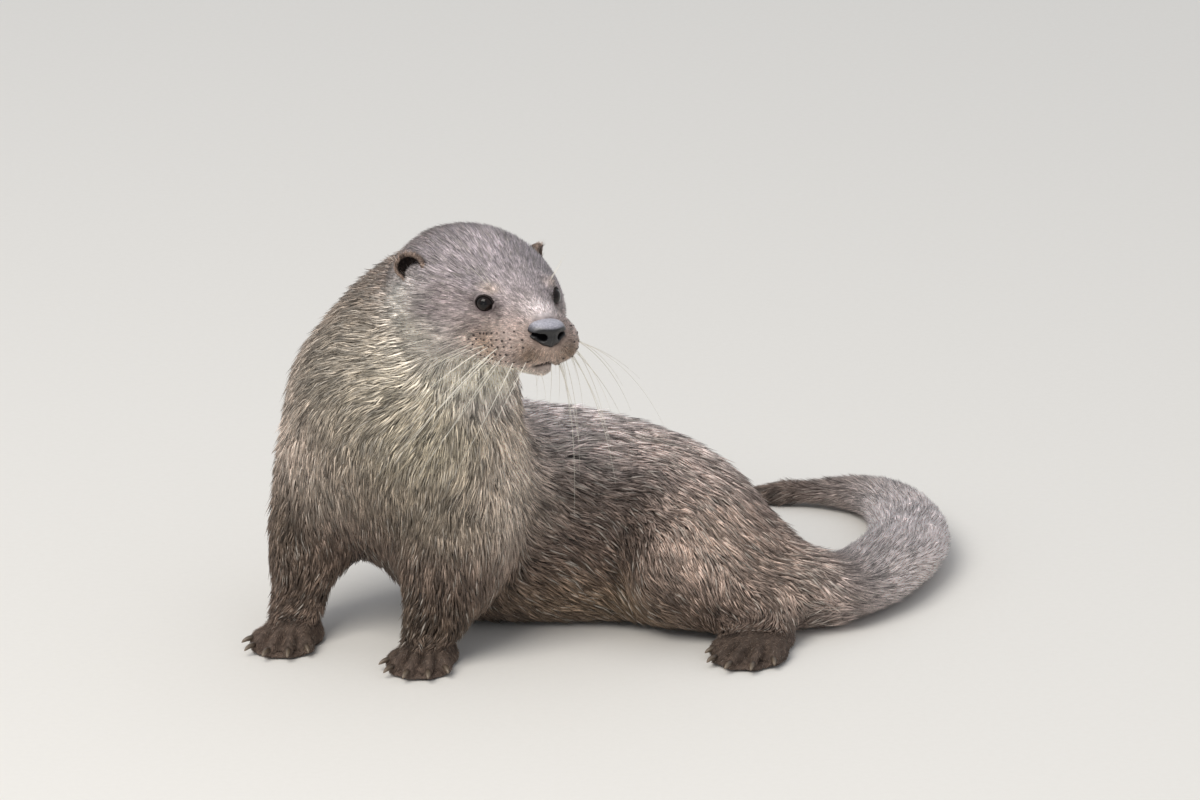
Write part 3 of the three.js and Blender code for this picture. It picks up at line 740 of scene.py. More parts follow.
# the line of the mouth: dark lip skin, with painted shade under the whisker pad
mouth = hump(above / lips["line"]) * ease(q[:, 0], *lips["lineFrom"]) * headShare
mouth = mouth * (np.abs(above) < lips["lineEnds"])
hue = mix(hue, tinted(bareColours["mouth"]), (lips["dark"] * mouth)[:, None])
for side in sides:
    start, inner, back = earParts[side]
    hue[start:start + len(inner)] = mix(tinted(bareColours["earRim"]), tinted(bareColours["earBowl"]),
                                        inner[:, None])
    start, size = lidParts[side]
    low = -((q[start:start + size] - onSide(eyeAt, side)) @ eyeAxes[side][2]) / eyeRadius
    hue[start:start + size] = mix(tinted(bareColours["lid"]), tinted(bareColours["lowerLid"]),
                                  (0.75 * ease(low, 0.15, 0.6))[:, None])


# Which way the coat lies: strokes along the body, each with its reach, in mm.
lieStrokes = {
    "neck": (55, [(-72, -100, 228), (-98, -76, 207), (-108, -76, 178), (-115, -74, 146), (-119, -66, 118)]),
    "back": (52, [(-119, -66, 118), (-99, -36, 86), (-63, -12, 66), (-23, -2, 61), (15, -3, 56),
                  (45, -12, 46), (76, -26, 30), (115, -42, 22)]),
    "tail": (26, [(115, -42, 22), (143, -30, 21), (167, 8, 20), (182, 54, 18), (180, 110, 16),
                  (163, 152, 14), (133, 168, 11), (99, 173, 8), (59, 169, 4)]),
    "chest": (42, [(-80, -125, 190), (-88, -128, 120), (-96, -120, 40)]),
    "forelegLeft": (32, [(-84, -84, 120), (-87, -94, 56), (-102, -112, 22), (-114, -150, 8)]),
    "forelegRight": (30, [(-164, -55, 120), (-174, -52, 52), (-181, -74, 22), (-197, -112, 8)]),
    "hindlegLeft": (30, [(46, -52, 66), (62, -74, 40), (97, -83, 16), (71, -134, 8)]),
    "hindlegRight": (30, [(42, 24, 60), (60, 36, 40), (89, 31, 16), (67, 86, 8)]),
}


lieTurns = {
    "hang": 0.16,  # how far the body's coat hangs, and mm back where that ends on the tail
    "hangTo": (90, 120),
    "fromNose": (97, 0, 4),  # mm in the head: the face's coat runs back from here, sinking a little
    "sink": 0.1,
    "headReach": (62, 138),  # mm from the head's middle over which its lie gives way to the body's
    "under": ((26, 44), (14, 44)),  # mm down and to the side where the throat's coat keeps the body's lie
    "headFrom": (-46, -8),  # mm forward where the head's own coat takes it in full
    "swing": 0.16,  # how far the locks swing to either side, and how much less on the head
    "headStill": 0.6,
}


def laidFlat(lie, normals):  # the part of the lie that runs along the skin
    return unit(lie - normals * (lie * normals).sum(1)[:, None])


def lieOf(places, normals, q, headShare):
    p = places / mm
    total = np.zeros_like(p)
    for reach, stroke in lieStrokes.values():
        stroke = np.array(stroke, float)
        for start, end in zip(stroke[:-1], stroke[1:]):
            axis = end - start
            t = np.clip((p - start) @ axis / (axis @ axis), 0, 1)
            near = ((p - start - t[:, None] * axis) ** 2).sum(1) / reach ** 2
            total += unit(axis) / (0.12 + near[:, None]) ** 3
    body = unit(total)
    body[:, 2] -= lieTurns["hang"] * (1 - ease(p[:, 0], *lieTurns["hangTo"]))
    head = unit(q - np.array(lieTurns["fromNose"])) + [0, 0, -lieTurns["sink"]]
    down, aside = lieTurns["under"]
    under = ease(-q[:, 2], *down) * (1 - ease(np.abs(q[:, 1]), *aside))
    onNeck = 1 - ease(np.linalg.norm(q - [0, 0, -5], axis=1), *lieTurns["headReach"])
    onHead = headShare * ease(q[:, 0], *lieTurns["headFrom"])
    pull = np.maximum(onNeck * (1 - 0.85 * under), onHead * (1 - 0.6 * under))
    lie = mix(body, head @ headAxes, pull[:, None])
    # slow waves, so that the locks swing a little to either side
    wave = (np.sin(p @ [0.051, 0.083, 0.047] + 0.7) + 0.7 * np.sin(p @ [-0.13, 0.071, 0.118] + 2.1)
            + 0.5 * np.sin(p @ [0.21, -0.17, 0.19]))
    lie = laidFlat(lie, normals)
    swing = lieTurns["swing"] * wave * (1 - lieTurns["headStill"] * headShare)
    return unit(lie + np.cross(normals, lie) * swing[:, None])


lie = lieOf(places, normals, q, headShare)
print("skin coloured")

skin = addObject("skin", places, tri)
addColours(skin.data, "hue", hue)
addNumbers(skin.data, "bare", bare)


def unwrapped(thing, name):  # an unwrap by the shape itself
    bpy.ops.object.select_all(action="DESELECT")
    thing.select_set(True)
    bpy.context.view_layer.objects.active = thing
    thing.data.uv_layers.new(name=name)
    bpy.ops.object.mode_set(mode="EDIT")
    bpy.ops.mesh.select_all(action="SELECT")
    bpy.ops.uv.smart_project(angle_limit=1.15, island_margin=0.002)
    bpy.ops.object.mode_set(mode="OBJECT")
    uv = np.empty(len(thing.data.loops) * 2, np.float32)
    thing.data.uv_layers[name].data.foreach_get("uv", uv)
    return uv.reshape(-1, 3, 2).astype(float)


skinUv = unwrapped(skin, "OFBake")
print("skin unwrapped:", len(tri), "triangles")


# the coat: solid tufts grown from numpy arrays
coat = {
    "patch": 0.003,  # width of a tuft's patch on the unwrap
    "most": 190000,  # triangles in one piece
    "quickShare": 0.35,
    "sunk": 0.5,  # mm that a root stands in the skin
    "ridge": 0.42,  # a tuft's thickness, as a share of its width
    "bendAt": 0.45,  # where a tuft bends, as a share of its length
    "bendHigh": 0.62,  # how high it stands there, as a share of the tip's height
    "vary": (0.75, 1.25),  # shortest and longest, or thinnest and thickest, against the usual
    "high": 0.86,  # a tip's usual height, as a share of the coat's depth, and the least and most
    "highWithin": (0.35, 1.7),
    "faceDepth": 0.4,  # shares of the head's depth, length and width on the muzzle
    "faceLength": 0.3,
    "faceWidth": 0.48,
    "headDeeper": 0.25,  # how much deeper the rest of the head's coat is than the skin allows for
    "earDepth": 0.35,  # shares of depth and length beside an ear
    "earLength": 0.45,
    "muzzleMore": 3.4,  # times as many tufts on the muzzle
    "lidsBare": 1.14,  # how far from the look the coat begins, where the lids' edge is 1
    "eyeReach": 14,  # mm from the eyeball's middle that this holds
    "noseBare": ((84.8, 0, 1.4), (8, 12.2, 9)),  # middle and reach in the head, in mm
    "mouthBare": 1.5,  # mm
    "overFloor": 1.6,  # mm that the skin is above the floor where tufts grow
    "tipOverFloor": 0.3,
    "earReach": 14,  # mm from an ear in which the head's coat is shorter
    "guides": 8,  # tufts for each one that the tips gather to
    "gatherWithin": (0.2, 0.7),  # how far off that one may root, as a share of the length
    "lightFrom": (0.12, 0.5),  # linear lightness from which the coat counts as pale, and as fully so
    "streaks": (0.26, 0.56),  # how far tufts differ in lightness, in dark and in pale coat
    "guards": (0.6, 2.3),  # times the part's share of guard hairs, in dark and in pale coat
    "patchy": 0.34,  # how far neighbouring locks differ in lightness
    "lightest": 2.0,
}
# A tuft has a ring of three places at its root, one more at its bend where it is long, and a tip.
longTuft = {
    "faces": [(0, 2, 1), (0, 1, 3), (1, 4, 3), (1, 2, 4), (2, 5, 4), (2, 0, 5), (0, 3, 5),
              (3, 4, 6), (4, 5, 6), (5, 3, 6)],
    "along": [0, 0, 0, 0.5, 0.5, 0.5, 1],
    "inPatch": [(-1, 0), (0, 0), (1, 0), (-1, 1), (0, 1), (1, 1), (0, 2)],
}
shortTuft = {
    "faces": [(0, 2, 1), (0, 1, 3), (1, 2, 3), (2, 0, 3)],
    "along": [0, 0, 0, 1],
    "inPatch": [(-1, 0), (0, 0), (1, 0), (0, 2)],
}
# For each part of the coat: slot, its regions, tuft, gathering of the tips, how far tips stray in
# height and heading, and the share of pale guard hairs.
coatParts = {
    "head": ("head_coat", ["head", "jaw"], shortTuft, 0.55, 0.2, 0.12, 0.16),
    "ears": ("ear_skin", ["ear"], shortTuft, 0.3, 0.3, 0.25, 0.1),
    "neck": ("throat_coat", ["neck"], longTuft, 0.55, 0.3, 0.17, 0.13),
    "chest": ("throat_coat", ["chest"], longTuft, 0.55, 0.3, 0.17, 0.12),
    "belly": ("body_coat", ["belly"], longTuft, 0.5, 0.34, 0.2, 0.14),
    "hips": ("body_coat", ["hips"], longTuft, 0.5, 0.34, 0.2, 0.14),
    "forelegs": ("body_coat", ["foreleg"], longTuft, 0.4, 0.3, 0.14, 0.1),
    "hindlegs": ("body_coat", ["hindleg"], longTuft, 0.45, 0.32, 0.18, 0.12),
    "feet": ("foot_skin", ["foot"], shortTuft, 0.2, 0.25, 0.14, 0.04),
    "tail": ("tail_coat", ["tail"], shortTuft, 0.3, 0.25, 0.1, 0.08),
}
skinTree = BVHTree.FromPolygons(places.tolist(), tri.tolist(), all_triangles=True)
hairs = np.zeros((len(places), 4))  # depth, length, width and count at each place
hairs[:mainCount] = np.column_stack([depth, hairLength, hairWidth, hairCount])
growsAs = np.full(len(places), -1)
growsAs[:mainCount] = nearRegion
for side in sides:
    start, inner, back = earParts[side]
    span = slice(start, start + len(inner))
    growsAs[span] = regionNames.index("ear")
    hairs[span] = np.array(regions["ear"][1:])
    hairs[span, 1] *= mix(1.7, 1, back)  # the fringe inside is longer and thinner
    hairs[span, 3] *= mix(0.35, 1, back)
    axis = unit(onSide(earShape["faces"], side))
    spoke = q[span] - onSide(earShape["at"], side) + [0, 0, earShape["lower"][side]]
    spoke = laidFlat(spoke, axis)
    fringe = unit(np.array([-0.5, sides[side] * 0.3, 0.75])) * np.ones_like(spoke)
    lie[span] = laidFlat(mix(fringe, spoke + 0.35 * axis, back[:, None]) @ headAxes, normals[span])
perPlace = np.column_stack([lie, normals, hue, hairs, headShare])


def onSkin(points):  # the nearest places of the skin, and its normals and lie there
    found, faces = np.empty_like(points), np.empty(len(points), int)
    for n, point in enumerate(points):
        found[n], _, faces[n], _ = skinTree.find_nearest(point)
    corners = tri[faces]
    return found, unit(normals[corners].sum(1)), unit(lie[corners].sum(1))


def faceOf(q):  # 1 on the muzzle, 0 where the head's coat is as long as the neck's
    cheek = ease(np.abs(q[:, 1]), 22, 40) * ease(-q[:, 2], -6, 12)
    return ease(q[:, 0] - 24 * cheek, 4, 54)


def rootsIn(its):  # the skin's triangles that tufts root in, and each root's share of the corners
    corners = places[tri]
    middles, onHead = asHead(corners.mean(1)), headShare[tri[:, 0]]
    twice = np.cross(corners[:, 1] - corners[:, 0], corners[:, 2] - corners[:, 0])
    squareCm = np.linalg.norm(twice, axis=1) / 2 / (10 * mm) ** 2
    wanted = hairs[tri, 3].mean(1) * squareCm
    wanted *= np.isin(growsAs[tri[:, 0]], [regionNames.index(name) for name in its])
    wanted *= mix(1, coat["muzzleMore"], faceOf(middles) * onHead)
    for side in sides:
        edge, far = lidPlace(middles, side)
        wanted *= (edge > coat["lidsBare"]) | (far > coat["eyeReach"])
    noseMiddle, noseReach = coat["noseBare"]
    wanted *= np.linalg.norm((middles - noseMiddle) / noseReach, axis=1) > 1
    above = middles[:, 2] - lipUp(middles)
    wanted *= 1 - hump(above / coat["mouthBare"]) * ease(middles[:, 0], 44, 50) * onHead
    wanted *= corners[:, :, 2].min(1) > coat["overFloor"] * mm
    picked = np.repeat(np.arange(len(tri)), np.floor(wanted + rng.random(len(tri))).astype(int))
    share = rng.random((len(picked), 2))
    share[share.sum(1) > 1] = 1 - share[share.sum(1) > 1]
    return picked, np.column_stack([share, 1 - share.sum(1)])


def coatPiecesOf(part, tuft, verts, rootUv, order, numbers):  # the part's tufts as meshes of a fair size
    size, perTuft = verts.shape[1], len(tuft["faces"])
    uv = rootUv[:, None, :] + (np.array(tuft["inPatch"]) - [0, 1]) * coat["patch"] / 2
    pieces = math.ceil(len(verts) * perTuft / coat["most"])
    made = []
    for n, group in enumerate(np.array_split(order, pieces)):
        faces = (np.arange(len(group))[:, None, None] * size + np.array(tuft["faces"])).reshape(-1, 3)
        name = "coat_" + part + ("_%d" % (n + 1) if pieces > 1 else "")
        piece = addObject(name, verts[group].reshape(-1, 3), faces)
        addColours(piece.data, "hue", np.repeat(numbers["hue"][group], size, 0))
        for kind in ("tone", "guard"):
            addNumbers(piece.data, kind, np.repeat(numbers[kind][group], size))
        addNumbers(piece.data, "along", np.tile(tuft["along"], len(group)))
        flat = uv[group].reshape(-1, 2)[faces.ravel()].astype(np.float32)
        piece.data.uv_layers.new(name="OFBake").data.foreach_set("uv", flat.ravel())
        made.append(piece)
    print("coat of the", part + ":", len(verts), "tufts,", len(verts) * perTuft, "triangles in", pieces)
    return made


def grow(part):
    slot, its, tuft, gather, stray, swerve, pale = coatParts[part]
    picked, share = rootsIn(its)
    count = len(picked)
    root = np.einsum("nk,nkc->nc", share, places[tri[picked]])
    rootUv = np.einsum("nk,nkc->nc", share, skinUv[picked])
    here = np.einsum("nk,nkc->nc", share, perPlace[tri[picked]])
    heading, up, colour = unit(here[:, 0:3]), unit(here[:, 3:6]), here[:, 6:9]
    deep, long, wide, onHead = here[:, 9] * mm, here[:, 10] * mm, here[:, 11] * mm, here[:, 13]
    rootQ = asHead(root)
    face = faceOf(rootQ) * onHead
    byEar = hump(farFrom(rootQ, earShape["at"]) / coat["earReach"]) * (part != "ears")
    deep = deep * mix(1, coat["faceDepth"], face) * (1 + coat["headDeeper"] * onHead * (1 - face))
    deep = deep * mix(1, coat["earDepth"], byEar)
    long = long * mix(1, coat["earLength"], byEar) * mix(1, coat["faceLength"], face)
    long = long * rng.uniform(*coat["vary"], count)
    wide = wide * mix(1, coat["faceWidth"], face) * rng.uniform(*coat["vary"], count)
    # each tuft follows the skin from its root to its bend, and again to its tip
    turn = rng.normal(0, swerve, count)[:, None]
    heading = unit(heading + np.cross(up, heading) * turn)
    high = deep * np.clip(rng.normal(coat["high"], stray, count), *coat["highWithin"])
    bend, bendUp, bendLie = onSkin(root + heading * (long * coat["bendAt"])[:, None])
    onward = unit(bendLie + np.cross(bendUp, bendLie) * turn)
    tip, tipUp, _ = onSkin(bend + onward * (long * (1 - coat["bendAt"]))[:, None])
    if part == "ears":  # the fringe stands free of the rim
        bend, tip = root + heading * (long * coat["bendAt"])[:, None], root + heading * long[:, None]
        bendUp = tipUp = up
    bend = bend + bendUp * (high * coat["bendHigh"])[:, None]
    tip = tip + tipUp * high[:, None]
    # wet tips gather towards their neighbours'
    guides = rng.choice(count, max(count // coat["guides"], 1), replace=False)
    near = nearestOf(root, root[guides])
    guide = guides[near]
    far = np.linalg.norm(root - root[guide], axis=1)
    closeBy, tooFar = coat["gatherWithin"]
    pull = (gather * (1 - ease(far, closeBy * long, tooFar * long)) * rng.uniform(0.5, 1, count))[:, None]
    tip = mix(tip, tip[guide] + (root - root[guide]) * 0.15, pull)
    bend = mix(bend, bend[guide] + (root - root[guide]) * 0.7, pull * 0.55)
    light = ease(colour @ [0.3, 0.59, 0.11], *coat["lightFrom"])
    tone = np.exp(rng.normal(0, 1, count) * mix(*coat["streaks"], light))
    tone = np.minimum(tone * np.exp(rng.normal(0, coat["patchy"], len(guides)))[near], coat["lightest"])
    guard = (rng.random(count) < pale * mix(*coat["guards"], light)).astype(float)
    # the places round each ring, and the tip
    rings = []
    stations = [(root - up * coat["sunk"] * mm, bend - root, up, 0.8)]
    if tuft is longTuft:
        stations.append((bend, tip - root, bendUp, 1.0))
    for middle, along, upward, size in stations:
        across = unit(np.cross(upward, unit(along)))
        half = across * (wide * size * 0.5)[:, None]
        top = np.cross(unit(along), across) * (wide * size * coat["ridge"])[:, None]
        rings += [middle + half, middle + top, middle - half]
    verts = np.stack(rings + [tip], 1)
    verts[..., 2] = np.maximum(verts[..., 2], coat["tipOverFloor"] * mm)
    numbers = {"hue": colour, "tone": tone, "guard": guard}
    made = coatPiecesOf(part, tuft, verts, rootUv, np.argsort(root[:, 0] + root[:, 1]), numbers)
    for piece in made:
        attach(piece, "root")
    return made


coatPieces = {part: grow(part) for part in coatParts}


# eyes: a ball with a raised cornea, near black, wet
eyes = {
    "cornea": 0.55,  # mm that it stands out
    "corneaEdge": (18.15, 42.9),  # degrees from the look where it falls away
    "rings": 44,
    "around": 64,
    "closer": 1.15,  # draws the rings together in front
}
eyeObjects = []
for side in sides:
    down = np.pi * (np.arange(eyes["rings"]) / (eyes["rings"] - 1)) ** eyes["closer"]
    turn = 2 * np.pi * np.arange(eyes["around"]) / eyes["around"]
    reach = eyeRadius + eyes["cornea"] * (1 - ease(np.degrees(down), *eyes["corneaEdge"]))
    local = np.stack([np.repeat(reach * np.cos(down), len(turn)),
                      np.outer(reach * np.sin(down), np.cos(turn)).ravel(),
                      np.outer(reach * np.sin(down), np.sin(turn)).ravel()], -1)
    eyeTri = gridTriangles(eyes["rings"], eyes["around"])
    if sides[side] > 0:
        eyeTri = eyeTri[:, ::-1]
    eye = addObject("eyeball_" + side, inHead(local @ eyeAxes[side] + onSide(eyeAt, side)), eyeTri)
    addNumbers(eye.data, "fromLook", np.repeat(np.degrees(down), len(turn)))
    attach(eye, "root")
    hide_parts("eye_" + side)
    eyeObjects.append(eye)
print("eyes made")


# the nose: a bare pad with comma nostrils
noseShape = {
    "set": np.array([1.8, 0, 0.9]),  # mm from where the forms are given
    "voxel": 0.5 * mm,
    "forms": [  # centre, radii, fillet; mirrored where off the middle
        ((79.5, 0, 2.4), (8.6, 9.8, 4.2), 2),
        ((79, 6.8, -0.8), (6.6, 5.4, 4.8), 2.5),
        ((82.2, 3.2, -4.2), (4.8, 4, 3.6), 2.5),
        ((82.2, 0, -2.4), (5.8, 4.8, 5.6), 2.5),
        ((83.4, 0, -6.8), (3.2, 1.9, 2.6), 1.8),
    ],
    "nostrils": [  # centre, radii: the hole and the slit that runs out and up from it
        ((84.5, 6.3, -1.9), (5.5, 3.1, 2.5)),
        ((81.5, 9.6, -0.7), (5, 3.4, 1.5)),
    ],
    "deep": 2.6,  # mm
    "groove": (0.45, 0.55),  # depth and width of the line down the front
}


def noseField(q):
    q = q - noseShape["set"]
    total = np.full(len(q), 1e3)
    for centre, radii, fillet in noseShape["forms"]:
        for middle in mirrored(centre):
            total = filleted(total, ellipsoid(q, middle, radii), fillet)
    return total


nosePieces = [ball(inHead(np.add(middle, noseShape["set"])), radii)
              for centre, radii, _ in noseShape["forms"] for middle in mirrored(centre)]
noseMesh = fused("noseBase", nosePieces, noseShape["voxel"])
noseQ = drawnTo(noseField, asHead(placesOf(noseMesh)), 4)
noseTri = trianglesOf(noseMesh)
inward = -outwardAt(noseQ, noseTri)
pit = np.zeros(len(noseQ))
for centre, radii in noseShape["nostrils"]:
    for middle in mirrored(centre):
        local = (noseQ - noseShape["set"] - middle) / radii
        inside = 1 - (local[:, 1] ** 2 + local[:, 2] ** 2)
        pit = np.maximum(pit, np.sqrt(np.clip(inside, 0, 1)) * (noseQ[:, 0] > 79))
noseQ = noseQ + inward * (noseShape["deep"] * ease(pit, 0.0, 0.85))[:, None]
grooveDeep, grooveWide = noseShape["groove"]
groove = hump(noseQ[:, 1] / grooveWide) * ease(noseQ[:, 0], 82, 85) * (1 - ease(noseQ[:, 2], -1, 3))
noseQ = noseQ + inward * (grooveDeep * groove)[:, None]
nose = addObject("nosePad", inHead(noseQ), noseTri)
addNumbers(nose.data, "pit", ease(pit, 0.15, 0.8))
addNumbers(nose.data, "paintedSkyShine", ease(-inward[:, 2], 0.3, 0.98))  # painted sky reflection: lighter where the pad faces up
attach(nose, "root")
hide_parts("nose")
print("nose made:", len(noseTri), "triangles")


# whiskers and the dark spots they grow from
whiskers = {
    "rows": 6,
    "columns": 10,
    "fore": (85, 45),  # mm forward in the head, of a row's first and last spots
    "top": (2.5, -12),  # mm up, of the top row's first and last spots
    "bottom": (-20, -27),
    "spot": (0.8, 0.68, 0.32),  # radii of a root's spot in mm
    "missing": 0.1,  # share of places in a row that have no spot
    "overLip": 1.5,  # mm
    "beside": 9,  # mm from the middle line
    "clear": 15,  # and as far in the top rows, which end at the nose pad
    "topRows": 2,  # rows whose hairs are too short to show
    "bare": 0.36,  # share of the other spots whose whisker is short or shed
    "thick": 0.28,  # mm at the root, as a radius
    "thin": 0.86,  # share of that lost by the tip
    "longest": 84,
    "farthest": -198,  # mm forward that any may reach
    "steps": 16,
}
# The single ones: root in the head, lead and length in mm. Two stand over each eye, two under the
# chin and one on the cheek.
singleWhiskers = [
    ((50, 21, 20), (0.1, 0.5, 0.9), 22),
    ((47, 22, 19), (-0.1, 0.6, 0.8), 18),
    ((70, 9, -30), (0, 0.5, -0.9), 22),
    ((62, 11, -32), (-0.2, 0.5, -0.9), 26),
    ((26, 42, -20), (-0.5, 0.8, -0.4), 30),
]


def tube(points, radii, around=6):
    points = np.asarray(points, float)
    ahead = unit(np.gradient(points, axis=0))
    side = unit(np.cross(ahead, [0.3, 0.2, 1.0]))
    up = np.cross(side, ahead)
    turn = 2 * np.pi * np.arange(around) / around
    ring = np.cos(turn)[None, :, None] * side[:, None] + np.sin(turn)[None, :, None] * up[:, None]
    verts = (points[:, None] + ring * np.asarray(radii)[:, None, None]).reshape(-1, 3)
    tri = gridTriangles(len(points), around)
    start, end = len(verts), len(verts) + 1
    last = (len(points) - 1) * around
    caps = [(start, (s + 1) % around, s) for s in range(around)]
    caps += [(end, last + s, last + (s + 1) % around) for s in range(around)]
    return np.vstack([verts, points[0], points[-1]]), np.vstack([tri, caps])


def follicleSpot(place, normal):  # a low oval dome, longer along the row
    along = unit(np.cross(normal, headUp))
    spotAxes = np.array([along, np.cross(normal, along), normal])
    dome, spotTri = ball(np.zeros(3), np.array(whiskers["spot"]) * rng.uniform(0.75, 1.2), 6, 8)
    return place + normal * 0.65 * mm + (dome @ headAxes.T) @ spotAxes, spotTri


def padWhisker(place, normal, side, s, t):  # s is 0 in front and 1 behind, t is 0 above and 1 below
    long = whiskers["longest"] * rng.uniform(0.5, 1) * mix(0.55, 1, math.sin(np.pi * min(s * 1.2 + 0.1, 1)))
    lead = np.array([mix(0.3, -0.55, s), sides[side] * mix(0.95, 0.5, t) * rng.uniform(0.75, 1.1),
                     mix(0.05, -0.95, t) + rng.normal(0, 0.1)])
    sag = np.array([-0.2, 0, -mix(0.36, 0.3, t) + rng.normal(0, 0.1)])
    u = np.linspace(0, 1, whiskers["steps"])[:, None]
    path = (unit(lead) * u + sag * u ** 2) * long
    points = place - normal * 0.8 * mm + (path * mm) @ headAxes
    over = (place[1] - whiskers["farthest"] * mm) / max(place[1] - points[:, 1].min(), 1e-6)
    points = place + (points - place) * min(over, 1)
    radii = whiskers["thick"] * mm * (1 - whiskers["thin"] * u[:, 0] ** 0.9) * rng.uniform(0.75, 1.1)
    return tube(points, radii)


spotPieces, hairPieces = [], []
for side in sides:
    for row in range(whiskers["rows"]):
        t = row / (whiskers["rows"] - 1)
        for column in range(whiskers["columns"]):
            s = (column + 0.5 * (row % 2) + rng.normal(0, 0.06)) / whiskers["columns"]
            fore = mix(*whiskers["fore"], s)
            up = mix(mix(*whiskers["top"], s), mix(*whiskers["bottom"], s), t) + rng.normal(0, 0.25)
            beside = inHead(onSide((fore, 60, up), side))
            place, normal, _, _ = skinTree.ray_cast(beside, -sides[side] * headLeft)
            if place is None or rng.random() < whiskers["missing"]:
                continue
            place, normal = np.array(place), np.array(normal)
            spotQ = asHead(place[None])
            sideways = spotQ[0, 1] * sides[side]
            if spotQ[0, 2] < lipUp(spotQ)[0] + whiskers["overLip"] or sideways < whiskers["beside"]:
                continue
            spot = follicleSpot(place, normal)
            if row < whiskers["topRows"] and sideways < whiskers["clear"]:
                continue
            spotPieces.append(spot)
            if row < whiskers["topRows"] or rng.random() < whiskers["bare"]:
                continue
            hairPieces.append(padWhisker(place, normal, side, s, t))
    for root, lead, long in singleWhiskers:
        place, _, _ = onSkin(inHead([onSide(root, side)]))
        u = np.linspace(0, 1, whiskers["steps"])[:, None]
        path = (unit(onSide(lead, side)) * u + np.array([-0.25, 0, -0.2]) * u ** 2) * long
        radii = 0.6 * whiskers["thick"] * mm * (1 - whiskers["thin"] * u[:, 0])
        hairPieces.append(tube(place[0] + (path * mm) @ headAxes, radii))
spots = addObject("whiskerSpots", *joined(spotPieces))
whiskerHair = addObject("whiskers", *joined(hairPieces))
for piece in (spots, whiskerHair):
    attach(piece, "root")
print("whiskers made:", len(hairPieces), "hairs,", len(spotPieces), "spots")


# claws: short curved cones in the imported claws' places
clawShape = {
    "radius": 1.75,  # mm
    "around": 10,
    "steps": 9,
    "curve": 0.22,  # how high it arches, as a share of its length
    "overFloor": 1.2,  # mm
}
alongClaw = np.linspace(0, 1, clawShape["steps"])
clawObjects = []
for leg in legs:
    pieces = []
    for n in range(1, 6):
        rear, tip = clawEnds(leg, n)
        ahead = tip - rear
        u = alongClaw[:, None]
        rise = np.array([0, 0, 1]) * np.linalg.norm(ahead) * clawShape["curve"]
        points = rear + ahead * u + rise * (4 * u * (1 - u)) * 0.5
        points[:, 2] = np.maximum(points[:, 2], clawShape["overFloor"] * mm)
        radii = clawShape["radius"] * mm * np.sqrt(np.clip(1 - alongClaw ** 1.6, 0.006, 1))
        pieces.append(tube(points, radii, clawShape["around"]))
    claws = addObject("claws_" + leg, *joined(pieces))
    oneClaw = np.append(np.repeat(alongClaw, clawShape["around"]), [0, 1])
    addNumbers(claws.data, "along", np.tile(oneClaw, len(pieces)))
    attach(claws, "root")
    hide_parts(*["%s_claw_%d" % (leg, n) for n in range(1, 6)])
    clawObjects.append(claws)

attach(skin, "root")
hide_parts(*fleshNodes, *earNodes)


# materials
def newMaterial(name):
    material = bpy.data.materials.new(name)
    material.use_nodes = True
    material.node_tree.nodes.clear()
    return material, material.node_tree


# Adds a node with its settings. Inputs are values or other nodes' outputs, by name or as i and a number.
def node(tree, kind, output=0, settings=None, **inputs):
    made = tree.nodes.new("ShaderNode" + kind)
    for name, value in (settings or {}).items():
        setattr(made, name, value)
    for name, value in inputs.items():
        socket = made.inputs[int(name[1:]) if name[1:].isdigit() else name.replace("_", " ")]
        if isinstance(value, bpy.types.NodeSocket):
            tree.links.new(value, socket)
        else:
            socket.default_value = value
    return made.outputs[output] if made.outputs else made


# A mix has its share in input 0; colours are inputs 6 and 7 and output 2, plain numbers 2, 3 and 0.
colourMix = {"data_type": "RGBA"}
colourTimes = {"data_type": "RGBA", "blend_type": "MULTIPLY"}
times = {"operation": "MULTIPLY"}

# Guard hair: keratin, damp. Its darker root is painted shade deep in the coat, and its lighter length and tip
# are partly the hair's own paler tips and partly painted light.
guardHair = {
    "ior": 1.55,
    "specular": 0.42,
    # painted shade: the root is darker where it lies deep in the coat
    "root": 0.62,  # how light the root is against the middle
    "middle": 0.55,  # where that is along the tuft
    "gain": 1.4,  # tufts shade each other, so each is lighter than the coat they make
    "pale": "#e9e1d6",
    "strand": 0.25,  # mm across one hair; tufts show about three of them
    "kinds": {"dampCoat": (0.46, 1.35), "faceCoat": (0.48, 1.3), "tailCoat": (0.42, 1.2)},  # roughness, tip
    "on": {"head": "faceCoat", "ears": "faceCoat", "feet": "faceCoat", "tail": "tailCoat"},
}


